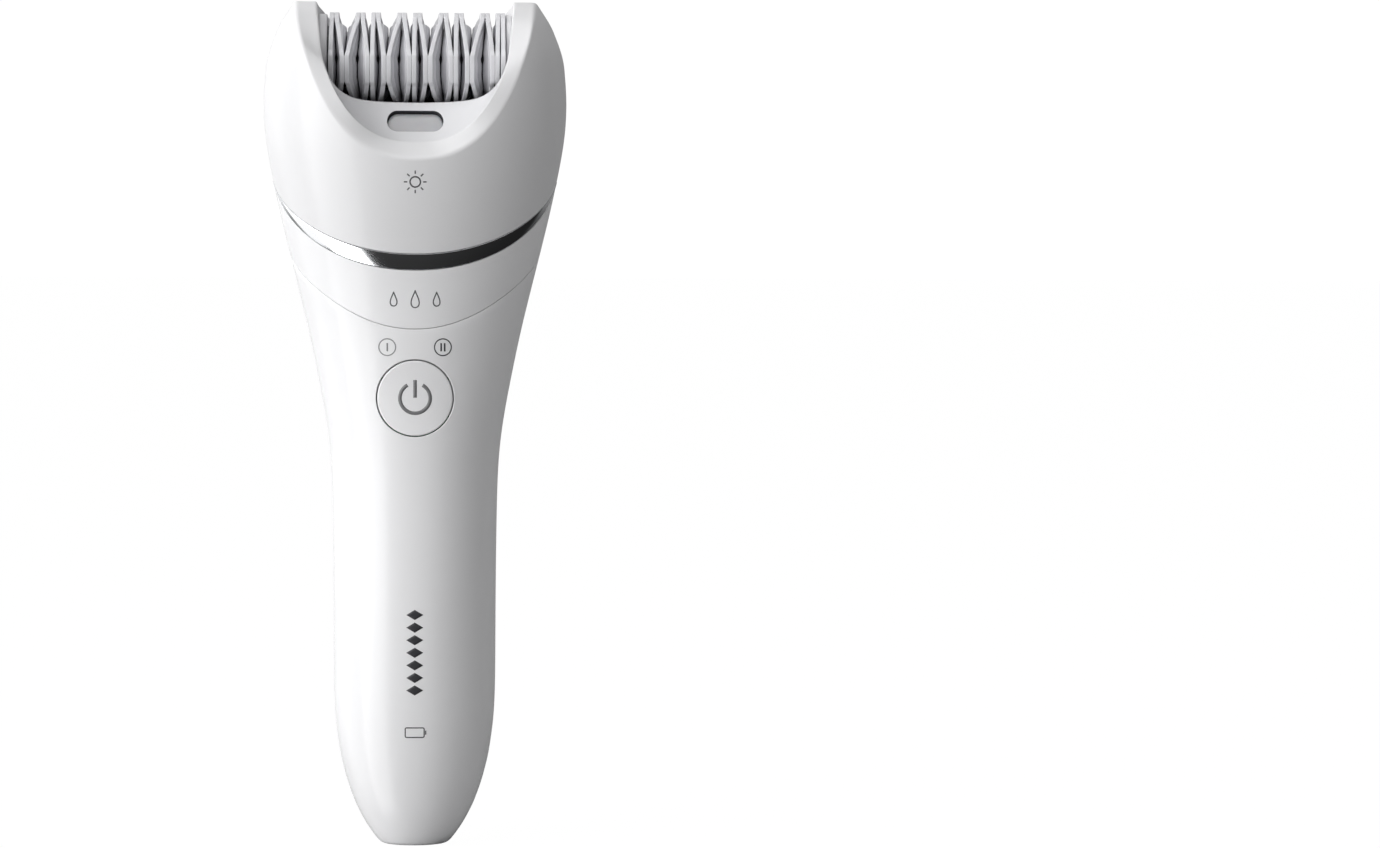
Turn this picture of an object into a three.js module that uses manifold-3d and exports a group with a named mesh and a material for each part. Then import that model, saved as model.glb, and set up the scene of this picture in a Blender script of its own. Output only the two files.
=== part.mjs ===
// Hand-held epilator with a detachable tweezer-barrel head.
// Units are millimetres. +Z is up along the handle, the front (button side) faces -Y, +X is to the
// right of someone looking at the front. The origin is under the middle of the foot's bounding box.

import * as THREE from 'three';
import { mergeVertices } from 'three/addons/utils/BufferGeometryUtils.js';
import Module from 'manifold-3d';

const wasm = await Module();
wasm.setup();

// ---------------------------------------------------------------- driving dimensions

const HEIGHT = 175;
const WALL = 2;
const GAP = 0.3;
const SECTION_POWER = 2.1;
const BEYOND = 40;

// Half-width, half-depth and front-to-back centre of the body at heights above the foot.
const HALF_WIDTH = [
  [0, 7.7], [3, 9.4], [7, 11.8], [12, 14.2], [19, 16], [30, 17], [52, 16.9], [78, 17.3],
  [103, 21.2], [119, 25], [136, 29], [152, 31.5], [161, 31], [169, 28.6], [HEIGHT, 25],
];
const HALF_DEPTH = [
  [0, 7.7], [3, 9.2], [7, 11], [12, 12.7], [19, 14.5], [30, 16], [52, 17], [78, 16.8],
  [103, 17.5], [119, 19.2], [140, 22], [152, 22.8], [163, 21.5], [HEIGHT, 17],
];
const CENTRE_Y = [[0, 2.4], [40, 3.6], [80, 4.4], [110, 3.2], [135, 0.5], [152, -0.3], [HEIGHT, -0.3]];

// Seam lines rise from the front towards the back: height at the front, its y, rise and reach.
const HEAD_SEAM = { front: 122.9, y: -17.3, rise: 50, reach: 50 };
const COLLAR_SEAM = { front: 107, y: -14.3, rise: 22, reach: 14 };
const BAND = { height: 3.5, depth: 1.4, tipY: -0.5, length: 18, taper: 1.5 };
const HANDLE_SPLIT_Y = 3.5;

// The opening round the barrel is U-shaped from the front and climbs towards the back.
const FACE = { halfWidth: 21.5, height: 20, z: 158.5, slope: 0.65, power: 2.5, root: 1 / 1.8 };

const BARREL = {
  y: -1, z: 162.6, padRadius: 10.2, legRadius: 9.6, innerRadius: 5.6, halfLength: 18.6,
  hubRadius: 5.2, sleeveRadius: 3, axleRadius: 1.5,
};
const DISC = { count: 18, thickness: 0.9, gap: 0.1, pitch: 4.28, segments: 24, firstRow: 100 };
const TOP_ROW = { middle: 0.45, oddShift: 1.1 };
const FRONT_ROW = { middle: -0.75, oddShift: -0.92 };
const BAY = { radius: 11, halfLength: 18.9, wall: 1.4, cheek: 1.3 };
const LIP = { y: -12.4, z: 154.1, slope: 0.52 };

const GEAR = { module: 1, addendum: 0.75, dedendum: 1.05, rootShare: 0.5, tipShare: 0.22 };
const TEETH = { barrel: 12, idler: 12, spur: 8, pinion: 8, crown: 20 };
const GEAR_X = [22.4, 24.4];
const IDLER_Z = BARREL.z - GEAR.module * (TEETH.barrel + TEETH.idler) / 2;
const CROWN_Z = IDLER_Z - GEAR.module * (TEETH.idler + TEETH.spur) / 2;
const CROWN = { radius: 8.4, innerRadius: 6.4, faceX: 4.4, backX: 6, toothX: 3.15, toothHalf: 0.36 };
const PINION = { radius: 3, bottomZ: 131.6, topZ: 135 };
const BEARING_PLATE = { x: [24.8, 25.5], radius: 6 };

const MOTOR = { y: -1, radius: 10, halfDepth: 7.5, bottomZ: 99.9, topZ: 120.6, shaftRadius: 1 };
const BATTERY = { y: 7, radius: 7.1, bottomZ: 20, topZ: 70 };
const BOARD = { halfWidth: 7, y: [-7.4, -6.2], z: [21, 97.5] };
const CHASSIS = { halfWidth: 9, y: [-4.6, -3.2], z: [17, 98] };
const BUTTON = { z: 92.9, radius: 7.6, travel: 0.6 };
const LIGHTS = [
  { name: 'speed_light_low', x: -5.7, z: 103.7, radius: 1.6, backY: -8.9 },
  { name: 'speed_light_high', x: 5.7, z: 103.7, radius: 1.6, backY: -8.9 },
  { name: 'battery_light', x: 0, z: 23.3, radius: 1.4, backY: -7.7 },
];
const SOCKET = { y: 2.4, halfWidth: 5.6, halfDepth: 3.8, topZ: 13, bottomZ: 0.4, floorZ: 9.6 };
const SOCKET_HOLE = { halfWidth: 4.3, halfDepth: 2.5 };
const RELEASE = { z: 138, halfWidth: 6.4, halfHeight: 4.4, travel: 1.2 };

// ---------------------------------------------------------------- materials

function plastic(color, roughness) {
  return new THREE.MeshStandardMaterial({ color, roughness, metalness: 0 });
}

function metal(color, roughness) {
  return new THREE.MeshStandardMaterial({ color, roughness, metalness: 1 });
}

const GLOSS_WHITE = plastic(0xf1f1f3, 0.22);
const SATIN_WHITE = plastic(0xe4e4e7, 0.4);
const CLEAR_GREY = plastic(0xb9bcc2, 0.15);
const DISC_WHITE = plastic(0xdcdce0, 0.45);
const DARK_PLASTIC = plastic(0x3a3b40, 0.6);
const NATURAL_NYLON = plastic(0xe9e4d6, 0.5);
const SOFT_RUBBER = plastic(0x9a9ca0, 0.8);
const BOARD_GREEN = plastic(0x1f5b3a, 0.5);
const CELL_WRAP = plastic(0x2f6fb0, 0.45);
const LED_YELLOW = plastic(0xf6edc0, 0.3);
const CHROME = metal(0xd8dade, 0.08);
const STEEL = metal(0xb4b6ba, 0.35);
const BRASS = metal(0xc9a45c, 0.35);

// ---------------------------------------------------------------- solids and simple shapes

function solid(geometry) {
  const bare = geometry.index ? geometry.toNonIndexed() : geometry.clone();
  bare.deleteAttribute('normal');
  bare.deleteAttribute('uv');
  const merged = mergeVertices(bare, 1e-4);
  const vertProperties = new Float32Array(merged.attributes.position.array);
  const triVerts = new Uint32Array(merged.index.array);
  return new wasm.Manifold(new wasm.Mesh({ numProp: 3, vertProperties, triVerts }));
}

function surface(body) {
  const mesh = body.getMesh();
  const geometry = new THREE.BufferGeometry();
  geometry.setAttribute('position', new THREE.BufferAttribute(mesh.vertProperties, mesh.numProp));
  geometry.setIndex(new THREE.BufferAttribute(mesh.triVerts, 1));
  geometry.computeVertexNormals();
  return geometry;
}

function piece(name, body, material) {
  const mesh = new THREE.Mesh(surface(body), material);
  mesh.name = name;
  return mesh;
}

function block(x, y, z) {
  const geometry = new THREE.BoxGeometry(x[1] - x[0], y[1] - y[0], z[1] - z[0]);
  geometry.translate((x[0] + x[1]) / 2, (y[0] + y[1]) / 2, (z[0] + z[1]) / 2);
  return solid(geometry);
}

function rodX(radius, x, y = 0, z = 0, sides = 24) {
  const geometry = new THREE.CylinderGeometry(radius, radius, x[1] - x[0], sides);
  geometry.rotateZ(-Math.PI / 2);
  geometry.translate((x[0] + x[1]) / 2, y, z);
  return solid(geometry);
}

function rodY(radius, y, x = 0, z = 0, sides = 24) {
  const geometry = new THREE.CylinderGeometry(radius, radius, y[1] - y[0], sides);
  geometry.translate(x, (y[0] + y[1]) / 2, z);
  return solid(geometry);
}

function rodZ(radius, z, x = 0, y = 0, sides = 24) {
  const geometry = new THREE.CylinderGeometry(radius, radius, z[1] - z[0], sides);
  geometry.rotateX(Math.PI / 2);
  geometry.translate(x, y, (z[0] + z[1]) / 2);
  return solid(geometry);
}

// An outline drawn in (y, z), carried along X.
function acrossX(shape, x) {
  const geometry = new THREE.ExtrudeGeometry(shape, { depth: x[1] - x[0], bevelEnabled: false });
  const turn = new THREE.Matrix4().makeBasis(
    new THREE.Vector3(0, 1, 0), new THREE.Vector3(0, 0, 1), new THREE.Vector3(1, 0, 0),
  );
  geometry.applyMatrix4(turn);
  geometry.translate(x[0], 0, 0);
  return geometry;
}

// An outline drawn in (x, z), carried along Y.
function acrossY(shape, y) {
  const geometry = new THREE.ExtrudeGeometry(shape, { depth: y[1] - y[0], bevelEnabled: false });
  geometry.rotateX(Math.PI / 2);
  geometry.translate(0, y[1], 0);
  return geometry;
}

function outline(points) {
  return new THREE.Shape(points.map(([u, v]) => new THREE.Vector2(u, v)));
}

// A slot shape with round ends, long across u.
function stadium(halfLength, halfHeight) {
  const shape = new THREE.Shape();
  const straight = halfLength - halfHeight;
  shape.absarc(straight, 0, halfHeight, -Math.PI / 2, Math.PI / 2, false);
  shape.absarc(-straight, 0, halfHeight, Math.PI / 2, 1.5 * Math.PI, false);
  return shape;
}

// ---------------------------------------------------------------- body form

// Cubic through the points, with tangents limited so that it never overshoots.
function profileAt(points, z) {
  const last = points.length - 1;
  const at = THREE.MathUtils.clamp(z, points[0][0], points[last][0]);
  let i = 0;
  while (i < last - 1 && at > points[i + 1][0]) {
    i += 1;
  }
  const slope = (k) => (points[k + 1][1] - points[k][1]) / (points[k + 1][0] - points[k][0]);
  const tangent = (k) => {
    if (k === 0) return slope(0);
    if (k === last) return slope(last - 1);
    const before = slope(k - 1);
    const after = slope(k);
    return before * after <= 0 ? 0 : 2 * before * after / (before + after);
  };
  const span = points[i + 1][0] - points[i][0];
  const t = (at - points[i][0]) / span;
  const blend = t * t * (3 - 2 * t);
  const bend = span * t * (1 - t) * ((1 - t) * tangent(i) - t * tangent(i + 1));
  return points[i][1] * (1 - blend) + points[i + 1][1] * blend + bend;
}

// The body's outer form, or the same form drawn in by an inset for the inside of its walls.
function bodyForm(inset, around = 32, rows = 22) {
  const geometry = new THREE.CylinderGeometry(1, 1, 1, around, rows);
  geometry.rotateX(Math.PI / 2);
  const spot = geometry.attributes.position;
  for (let i = 0; i < spot.count; i += 1) {
    const radius = Math.hypot(spot.getX(i), spot.getY(i));
    const angle = Math.atan2(spot.getY(i), spot.getX(i));
    const share = (spot.getZ(i) + 0.5) ** 1.3;
    const z = inset + (HEIGHT - 2 * inset) * share;
    const across = Math.sign(Math.cos(angle)) * Math.abs(Math.cos(angle)) ** (2 / SECTION_POWER);
    const along = Math.sign(Math.sin(angle)) * Math.abs(Math.sin(angle)) ** (2 / SECTION_POWER);
    const x = radius * across * (profileAt(HALF_WIDTH, z) - inset);
    const y = radius * along * (profileAt(HALF_DEPTH, z) - inset) + profileAt(CENTRE_Y, z);
    spot.setXYZ(i, x, y, z);
  }
  return solid(geometry);
}

function seamHeight(seam, y) {
  return seam.front + seam.rise * (1 - Math.exp(-(y - seam.y) / seam.reach));
}

function bandFoot(y) {
  const share = Math.max(0, (y - HEAD_SEAM.y) / BAND.length);
  const height = BAND.height * Math.max(0, 1 - share ** BAND.taper);
  return seamHeight(HEAD_SEAM, y) - height;
}

// Everything between a curved surface and a level, on the y range of the whole body.
function regionFrom(heightAt, level, y = [-30, 30], steps = 16) {
  const points = [];
  for (let i = 0; i <= steps; i += 1) {
    const at = y[0] + (y[1] - y[0]) * i / steps;
    points.push([at, heightAt(at)]);
  }
  points.push([y[1], level], [y[0], level]);
  return solid(acrossX(outline(points), [-BEYOND, BEYOND]));
}

// The U-shaped space over the face, climbing towards the back.
function faceSpace(grow, drop) {
  const steps = 22;
  const half = FACE.halfWidth + grow;
  const points = [];
  for (let i = 0; i <= steps; i += 1) {
    const turn = Math.PI * (i / steps - 0.5);
    const share = Math.abs(Math.sin(turn));
    const rise = FACE.height * (1 - (1 - share ** FACE.power) ** FACE.root);
    points.push([half * Math.sin(turn), FACE.z - drop + rise]);
  }
  points.push([half, HEIGHT + BEYOND], [-half, HEIGHT + BEYOND]);
  const geometry = acrossY(outline(points), [-BEYOND, BEYOND]);
  const climb = new THREE.Matrix4().makeShear(0, 0, 0, FACE.slope, 0, 0);
  geometry.applyMatrix4(climb);
  return solid(geometry);
}

const outerForm = bodyForm(0);
const innerForm = bodyForm(WALL);
const fitForm = bodyForm(WALL + GAP);
const shellForm = outerForm.subtract(innerForm);

// ---------------------------------------------------------------- handle

function handleShells() {
  const reach = seamHeight(COLLAR_SEAM, 30);
  const underCollar = regionFrom((y) => seamHeight(COLLAR_SEAM, y) - GAP / 2, -BEYOND);
  const socketSpace = block(
    [-SOCKET.halfWidth - GAP, SOCKET.halfWidth + GAP],
    [SOCKET.y - SOCKET.halfDepth - GAP, SOCKET.y + SOCKET.halfDepth + GAP],
    [-1, SOCKET.topZ],
  );
  const buttonHole = rodY(BUTTON.radius + GAP, [-20, -4], 0, BUTTON.z, 32);
  const tube = shellForm.intersect(underCollar).subtract(socketSpace).subtract(buttonHole);
  const front = block([-BEYOND, BEYOND], [-BEYOND, HANDLE_SPLIT_Y - GAP / 2], [-1, reach]);
  const back = block([-BEYOND, BEYOND], [HANDLE_SPLIT_Y + GAP / 2, BEYOND], [-1, reach]);
  return [
    piece('handle_front_shell', tube.intersect(front), GLOSS_WHITE),
    piece('handle_back_shell', tube.intersect(back), GLOSS_WHITE),
  ];
}

function releaseOpening(grow) {
  const shape = stadium(RELEASE.halfWidth + grow, RELEASE.halfHeight + grow);
  const geometry = acrossY(shape, [10, BEYOND]);
  geometry.translate(0, 0, RELEASE.z);
  return solid(geometry);
}

function neckCollar() {
  const overHandle = regionFrom((y) => seamHeight(COLLAR_SEAM, y) + GAP / 2, HEIGHT);
  const underHead = regionFrom((y) => bandFoot(y) - GAP / 2, -BEYOND);
  const ring = shellForm.intersect(overHandle).intersect(underHead);
  return piece('neck_collar', ring.subtract(releaseOpening(GAP)), GLOSS_WHITE);
}

// Floor of the neck recess: it slopes at the front, under the head's seam, and is level behind.
function neckBulkhead() {
  const plate = outline([[-22, 113], [-12.5, 123], [30, 123], [30, 121], [-11.7, 121], [-22, 110.7]]);
  const springPost = block([-4, 4], [7.6, 9], [122, 141]);
  const body = fitForm.intersect(solid(acrossX(plate, [-BEYOND, BEYOND]))).add(springPost);
  return piece('neck_bulkhead', body.subtract(rodZ(3, [110, 130], 0, MOTOR.y)), SATIN_WHITE);
}

function shaftSeal() {
  const ring = rodZ(4.5, [123.3, 125.3], 0, MOTOR.y).subtract(rodZ(1.3, [120, 130], 0, MOTOR.y));
  return piece('shaft_seal', ring, SOFT_RUBBER);
}

function chargingSocket() {
  const y = [SOCKET.y - SOCKET.halfDepth, SOCKET.y + SOCKET.halfDepth];
  const holeY = [SOCKET.y - SOCKET_HOLE.halfDepth, SOCKET.y + SOCKET_HOLE.halfDepth];
  const hole = block([-SOCKET_HOLE.halfWidth, SOCKET_HOLE.halfWidth], holeY, [-1, SOCKET.floorZ]);
  let body = block([-SOCKET.halfWidth, SOCKET.halfWidth], y, [SOCKET.bottomZ, SOCKET.topZ]);
  body = body.subtract(hole);
  const pins = [];
  for (const [name, x] of [['charge_pin_left', -2], ['charge_pin_right', 2]]) {
    body = body.subtract(rodZ(0.75, [0, 20], x, SOCKET.y, 12));
    pins.push(piece(name, rodZ(0.6, [5.3, 15], x, SOCKET.y, 12), BRASS));
  }
  return [piece('charging_socket', body, DARK_PLASTIC), ...pins];
}

const SCREW_HEIGHTS = { board_screw_upper: 80, board_screw_lower: 32 };

function chassisFrame() {
  const wide = [-CHASSIS.halfWidth, CHASSIS.halfWidth];
  const plate = block(wide, CHASSIS.y, CHASSIS.z);
  const lowerStop = block([-6, 6], [CHASSIS.y[0], 12], [CHASSIS.z[0], BATTERY.bottomZ - 0.5]);
  const upperStop = block([-6, 6], [CHASSIS.y[0], 12], [BATTERY.topZ + 0.5, BATTERY.topZ + 2.5]);
  const motorShelf = block([-10, 10], [-6, 8], [CHASSIS.z[1] - 0.1, MOTOR.bottomZ - GAP]);
  let body = plate.add(lowerStop).add(upperStop).add(motorShelf);
  for (const z of Object.values(SCREW_HEIGHTS)) {
    body = body.subtract(rodY(1.3, [-10, 0], 0, z, 12));
  }
  return piece('chassis', body, SATIN_WHITE);
}

function mainBoard() {
  let body = block([-BOARD.halfWidth, BOARD.halfWidth], BOARD.y, BOARD.z);
  for (const z of Object.values(SCREW_HEIGHTS)) {
    body = body.subtract(rodY(1.3, [-10, 0], 0, z, 12));
  }
  return piece('main_board', body, BOARD_GREEN);
}

function boardScrews() {
  return Object.entries(SCREW_HEIGHTS).map(([name, z]) => {
    const head = rodY(2.1, [BOARD.y[0] - 1.1, BOARD.y[0] - 0.1], 0, z, 12);
    const shank = rodY(1, [BOARD.y[0] - 0.5, CHASSIS.y[1] - 0.2], 0, z, 12);
    return piece(name, head.add(shank), STEEL);
  });
}

function battery() {
  const can = rodZ(BATTERY.radius, [BATTERY.bottomZ, BATTERY.topZ - 1], 0, BATTERY.y, 28);
  const tip = rodZ(2.6, [BATTERY.topZ - 1.5, BATTERY.topZ], 0, BATTERY.y, 16);
  return piece('battery_cell', can.add(tip), CELL_WRAP);
}

function motorOutline(grow) {
  const radius = MOTOR.radius + grow;
  const half = MOTOR.halfDepth + grow;
  const turn = Math.asin(half / radius);
  const shape = new THREE.Shape();
  shape.absarc(0, 0, radius, -turn, turn, false);
  shape.absarc(0, 0, radius, Math.PI - turn, Math.PI + turn, false);
  return shape;
}

function motorSolid(grow, z) {
  const depth = z[1] - z[0];
  const geometry = new THREE.ExtrudeGeometry(motorOutline(grow), {
    depth, bevelEnabled: false, curveSegments: 8,
  });
  geometry.translate(0, MOTOR.y, z[0]);
  return solid(geometry);
}

function motorAndMount() {
  const bore = rodZ(MOTOR.shaftRadius + GAP, [110, 130], 0, MOTOR.y, 16);
  const can = motorSolid(0, [MOTOR.bottomZ, MOTOR.topZ]).subtract(bore);
  const sleeve = motorSolid(1.4, [107, 113]).subtract(motorSolid(GAP, [100, 115]));
  return [
    piece('motor', can, STEEL),
    piece('motor_mount', sleeve, SOFT_RUBBER),
  ];
}

function lightGuides() {
  return LIGHTS.map(({ name, x, z, radius, backY }) => {
    const guide = rodY(radius, [-20, backY], x, z, 16).intersect(fitForm);
    return piece(name, guide, CLEAR_GREY);
  });
}

function powerSwitch() {
  const body = block([-3, 3], [BOARD.y[0] - 1.1, BOARD.y[0] - 0.1], [BUTTON.z - 3, BUTTON.z + 3]);
  return piece('power_switch', body, DARK_PLASTIC);
}

function buttonSeal() {
  const ring = rodY(6.6, [-9, -8], 0, BUTTON.z, 24).subtract(rodY(4.6, [-12, -4], 0, BUTTON.z, 24));
  return piece('button_seal', ring.intersect(fitForm), SOFT_RUBBER);
}

function powerButton() {
  const skin = bodyForm(0.2).subtract(bodyForm(1.8));
  const cap = rodY(BUTTON.radius, [-20, -4], 0, BUTTON.z, 32).intersect(skin);
  const stem = rodY(2, [-11.8, BOARD.y[0] - 1.2 - BUTTON.travel], 0, BUTTON.z, 16);
  return piece('power_button', cap.add(stem), GLOSS_WHITE);
}

// ---------------------------------------------------------------- head release

function releaseParts() {
  const cap = releaseOpening(0).intersect(outerForm.subtract(bodyForm(1.8)));
  const stem = block([-2.5, 2.5], [15, 21], [RELEASE.z - 1.5, RELEASE.z + 1.5]);
  const plate = block([-6, 6], [13.4, 14.8], [RELEASE.z - 4, RELEASE.z + 3]);
  return [
    piece('release_button', cap.add(stem), SATIN_WHITE),
    piece('release_latch', plate, DARK_PLASTIC),
  ];
}

class SpringCurve extends THREE.Curve {
  getPoint(t, target = new THREE.Vector3()) {
    const turn = 2 * Math.PI * 4 * t;
    return target.set(1.9 * Math.cos(turn), 3.6 * t, 1.9 * Math.sin(turn));
  }
}

function releaseSpring() {
  const wire = new THREE.Shape();
  wire.absarc(0, 0, 0.25, 0, 2 * Math.PI, false);
  const geometry = new THREE.ExtrudeGeometry(wire, {
    steps: 32, curveSegments: 2, extrudePath: new SpringCurve(),
  });
  geometry.translate(0, 9.3, RELEASE.z - 0.5);
  return piece('release_spring', solid(geometry), STEEL);
}

// ---------------------------------------------------------------- head

function headShell() {
  const overSeam = regionFrom((y) => seamHeight(HEAD_SEAM, y) + GAP / 2, HEIGHT + BEYOND);
  const body = shellForm.intersect(overSeam).subtract(faceSpace(0, 0));
  return piece('head_shell', body, GLOSS_WHITE);
}

function chromeBand() {
  const strip = outerForm.subtract(bodyForm(BAND.depth));
  const front = [-30, BAND.tipY];
  const underSeam = regionFrom((y) => seamHeight(HEAD_SEAM, y) - GAP / 2, -BEYOND, front);
  const overFoot = regionFrom((y) => bandFoot(y) + GAP / 4, HEIGHT, front);
  return piece('chrome_band', strip.intersect(underSeam).intersect(overFoot), CHROME);
}

// Sloping floor of the head, open where the gear train hangs through it.
function headBase() {
  const top = regionFrom((y) => seamHeight(HEAD_SEAM, y) + 2.1, -BEYOND);
  const bottom = regionFrom((y) => seamHeight(HEAD_SEAM, y) + 0.6, HEIGHT);
  const gearSpace = block([-9, BEYOND], [-10, 8], [110, 160]);
  const floor = fitForm.intersect(top).intersect(bottom).subtract(gearSpace);
  return piece('head_base', floor, SATIN_WHITE);
}

const WINDOW = { y: -17, halfWidth: 5.6, halfHeight: 2.1, tilt: Math.atan(FACE.slope) };

function windowPlug(halfWidth, halfHeight, depth, sink) {
  const geometry = new THREE.ExtrudeGeometry(stadium(halfWidth, halfHeight), {
    depth, bevelEnabled: false, curveSegments: 8,
  });
  geometry.translate(0, 0, -sink - depth);
  geometry.rotateX(WINDOW.tilt);
  geometry.translate(0, WINDOW.y, FACE.z - 0.8 + FACE.slope * WINDOW.y);
  return solid(geometry);
}

function barrelCradle() {
  const axis = [BARREL.y, BARREL.z];
  const length = BAY.halfLength + BAY.cheek;
  const dish = fitForm.intersect(faceSpace(0.6, 1.8));
  const trough = rodX(BAY.radius + BAY.wall, [-length, length], ...axis, 28);
  const lip = regionFrom((y) => LIP.z + LIP.slope * (y - LIP.y), 100);
  const cheeks = regionFrom((y) => 168.5 + 0.1 * y, 100);
  const bay = rodX(BAY.radius, [-BAY.halfLength, BAY.halfLength], ...axis, 28);
  const overBay = block(
    [-BAY.halfLength, BAY.halfLength], [BARREL.y - BAY.radius, BARREL.y + BAY.radius], [BARREL.z, 200],
  );
  let body = dish.subtract(faceSpace(-0.4, 0.8)).add(trough.intersect(lip));
  body = body.add(trough.intersect(cheeks).subtract(block([-19, 19], [-20, 20], [140, 180])));
  body = body.subtract(bay).subtract(overBay);
  body = body.subtract(rodX(BARREL.sleeveRadius + GAP, [-30, 30], ...axis));
  body = body.subtract(windowPlug(WINDOW.halfWidth + GAP, WINDOW.halfHeight + GAP, 10, -5));
  return piece('barrel_cradle', body, SATIN_WHITE);
}

function headLight() {
  return [
    piece('light_window', windowPlug(WINDOW.halfWidth, WINDOW.halfHeight, 1.6, 0.3), CLEAR_GREY),
    piece('light_board', windowPlug(7, 3, 1, 5.2), BOARD_GREEN),
    piece('head_light_led', windowPlug(1.6, 1.2, 1.4, 3.7), LED_YELLOW),
  ];
}

function plateOutline(lowZ, highZ, radius) {
  const shape = new THREE.Shape();
  shape.absarc(BARREL.y, highZ, radius, 0, Math.PI, false);
  shape.absarc(BARREL.y, lowZ, radius, Math.PI, 2 * Math.PI, false);
  return shape;
}

function bearingPlates() {
  const [inside, outside] = BEARING_PLATE.x;
  const axis = [BARREL.y, BARREL.z];
  const shaftBore = BARREL.axleRadius + 0.2;
  let right = solid(acrossX(plateOutline(CROWN_Z, BARREL.z, BEARING_PLATE.radius), BEARING_PLATE.x));
  right = right.subtract(rodX(shaftBore, [20, 30], ...axis, 16));
  right = right.subtract(rodX(shaftBore, [20, 30], BARREL.y, CROWN_Z, 16));
  right = right.add(rodX(BARREL.axleRadius, [GEAR_X[0], outside], BARREL.y, IDLER_Z, 16));
  const leftShape = plateOutline(BARREL.z - 6, BARREL.z, BEARING_PLATE.radius);
  let left = solid(acrossX(leftShape, [-outside, -inside]));
  left = left.subtract(rodX(shaftBore, [-30, -20], ...axis, 16));
  return [
    piece('bearing_plate_right', right, STEEL),
    piece('bearing_plate_left', left, STEEL),
  ];
}

function barrelAxle() {
  const reach = BEARING_PLATE.x[1] + 0.4;
  const rod = rodX(BARREL.axleRadius, [-reach, reach], BARREL.y, BARREL.z, 16);
  return piece('barrel_axle', rod, STEEL);
}

function gearBracket() {
  const floor = block([-8, 21.6], [-7.5, 5.5], [128.6, 130.2]);
  const upright = block([9.5, 11], [-7.5, 5.5], [129, 148.5]);
  const bore = rodX(BARREL.axleRadius + 0.2, [5, 20], BARREL.y, CROWN_Z, 16);
  const body = floor.add(upright).subtract(bore).subtract(rodZ(5.2, [120, 140], 0, MOTOR.y));
  return piece('gear_bracket', body, SATIN_WHITE);
}

// ---------------------------------------------------------------- gears

// Toothed outline about the origin, with one tooth pointing along the given angle.
function gearOutline(teeth, radius, toothAngle) {
  const pitch = 2 * Math.PI / teeth;
  const points = [];
  for (let i = 0; i < teeth; i += 1) {
    const middle = toothAngle + i * pitch;
    const root = radius - GEAR.dedendum;
    const tip = radius + GEAR.addendum;
    const half = [[root, GEAR.rootShare], [tip, GEAR.tipShare]];
    const mirrored = half.map(([r, share]) => [r, -share]);
    for (const [r, share] of [...mirrored, ...half.reverse()]) {
      const angle = middle + share * pitch / 2;
      points.push([r * Math.cos(angle), r * Math.sin(angle)]);
    }
  }
  return outline(points);
}

function spurGear(teeth, toothAngle, y, z) {
  const geometry = acrossX(gearOutline(teeth, GEAR.module * teeth / 2, toothAngle), GEAR_X);
  geometry.translate(0, y, z);
  return solid(geometry);
}

function idlerGear() {
  const gap = Math.PI / 2 + Math.PI / TEETH.idler;
  const bore = rodX(BARREL.axleRadius + 0.1, [20, 30], BARREL.y, IDLER_Z, 16);
  return piece('idler_gear', spurGear(TEETH.idler, gap, BARREL.y, IDLER_Z).subtract(bore), NATURAL_NYLON);
}

function crownParts() {
  const axis = [BARREL.y, CROWN_Z];
  const toothSpan = [-CROWN.radius, -CROWN.innerRadius];
  let crown = rodX(CROWN.radius, [CROWN.faceX, CROWN.backX], 0, 0, 28);
  for (let i = 0; i < TEETH.crown; i += 1) {
    const tooth = block([CROWN.toothX, CROWN.faceX + 0.2], [-CROWN.toothHalf, CROWN.toothHalf], toothSpan);
    crown = crown.add(tooth.rotate([(i + 0.5) * 360 / TEETH.crown, 0, 0]));
  }
  crown = crown.translate([0, ...axis]).subtract(rodX(BARREL.axleRadius + 0.1, [0, 10], ...axis, 16));
  const rod = rodX(BARREL.axleRadius, [4, BEARING_PLATE.x[1] + 0.3], ...axis, 16);
  return [
    piece('crown_gear', crown, NATURAL_NYLON),
    piece('crown_shaft', rod.add(spurGear(TEETH.spur, Math.PI / 2, ...axis)), STEEL),
  ];
}

function motorRotor() {
  const geometry = new THREE.ExtrudeGeometry(gearOutline(TEETH.pinion, PINION.radius, 0), {
    depth: PINION.topZ - PINION.bottomZ, bevelEnabled: false,
  });
  geometry.translate(0, MOTOR.y, PINION.bottomZ);
  const bore = rodZ(MOTOR.shaftRadius + 0.1, [130, 140], 0, MOTOR.y, 16);
  return [
    piece('motor_shaft', rodZ(MOTOR.shaftRadius, [112, PINION.topZ + 0.6], 0, MOTOR.y, 16), STEEL),
    piece('motor_pinion', solid(geometry).subtract(bore), BRASS),
  ];
}

// ---------------------------------------------------------------- tweezer barrel

// Discs meet in pairs: at the rows on top and underneath with one neighbour, at the rows in front
// and behind with the other, so each disc zigzags between its two places as it goes round.
function discPlaces(index) {
  const step = DISC.pitch;
  const pairAt = (row, j) => row.middle + step * (j - 4) + (j % 2 === 0 ? 0 : row.oddShift);
  const half = (DISC.thickness + DISC.gap) / 2;
  const topPair = Math.floor(index / 2);
  const frontPair = Math.floor((index + 1) / 2);
  const top = pairAt(TOP_ROW, topPair) + (index % 2 === 0 ? -half : half);
  const front = pairAt(FRONT_ROW, frontPair) + (index % 2 === 0 ? half : -half);
  const reach = BARREL.halfLength - DISC.thickness / 2 - DISC.gap;
  return { top, front: THREE.MathUtils.clamp(front, -reach, reach) };
}

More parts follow.
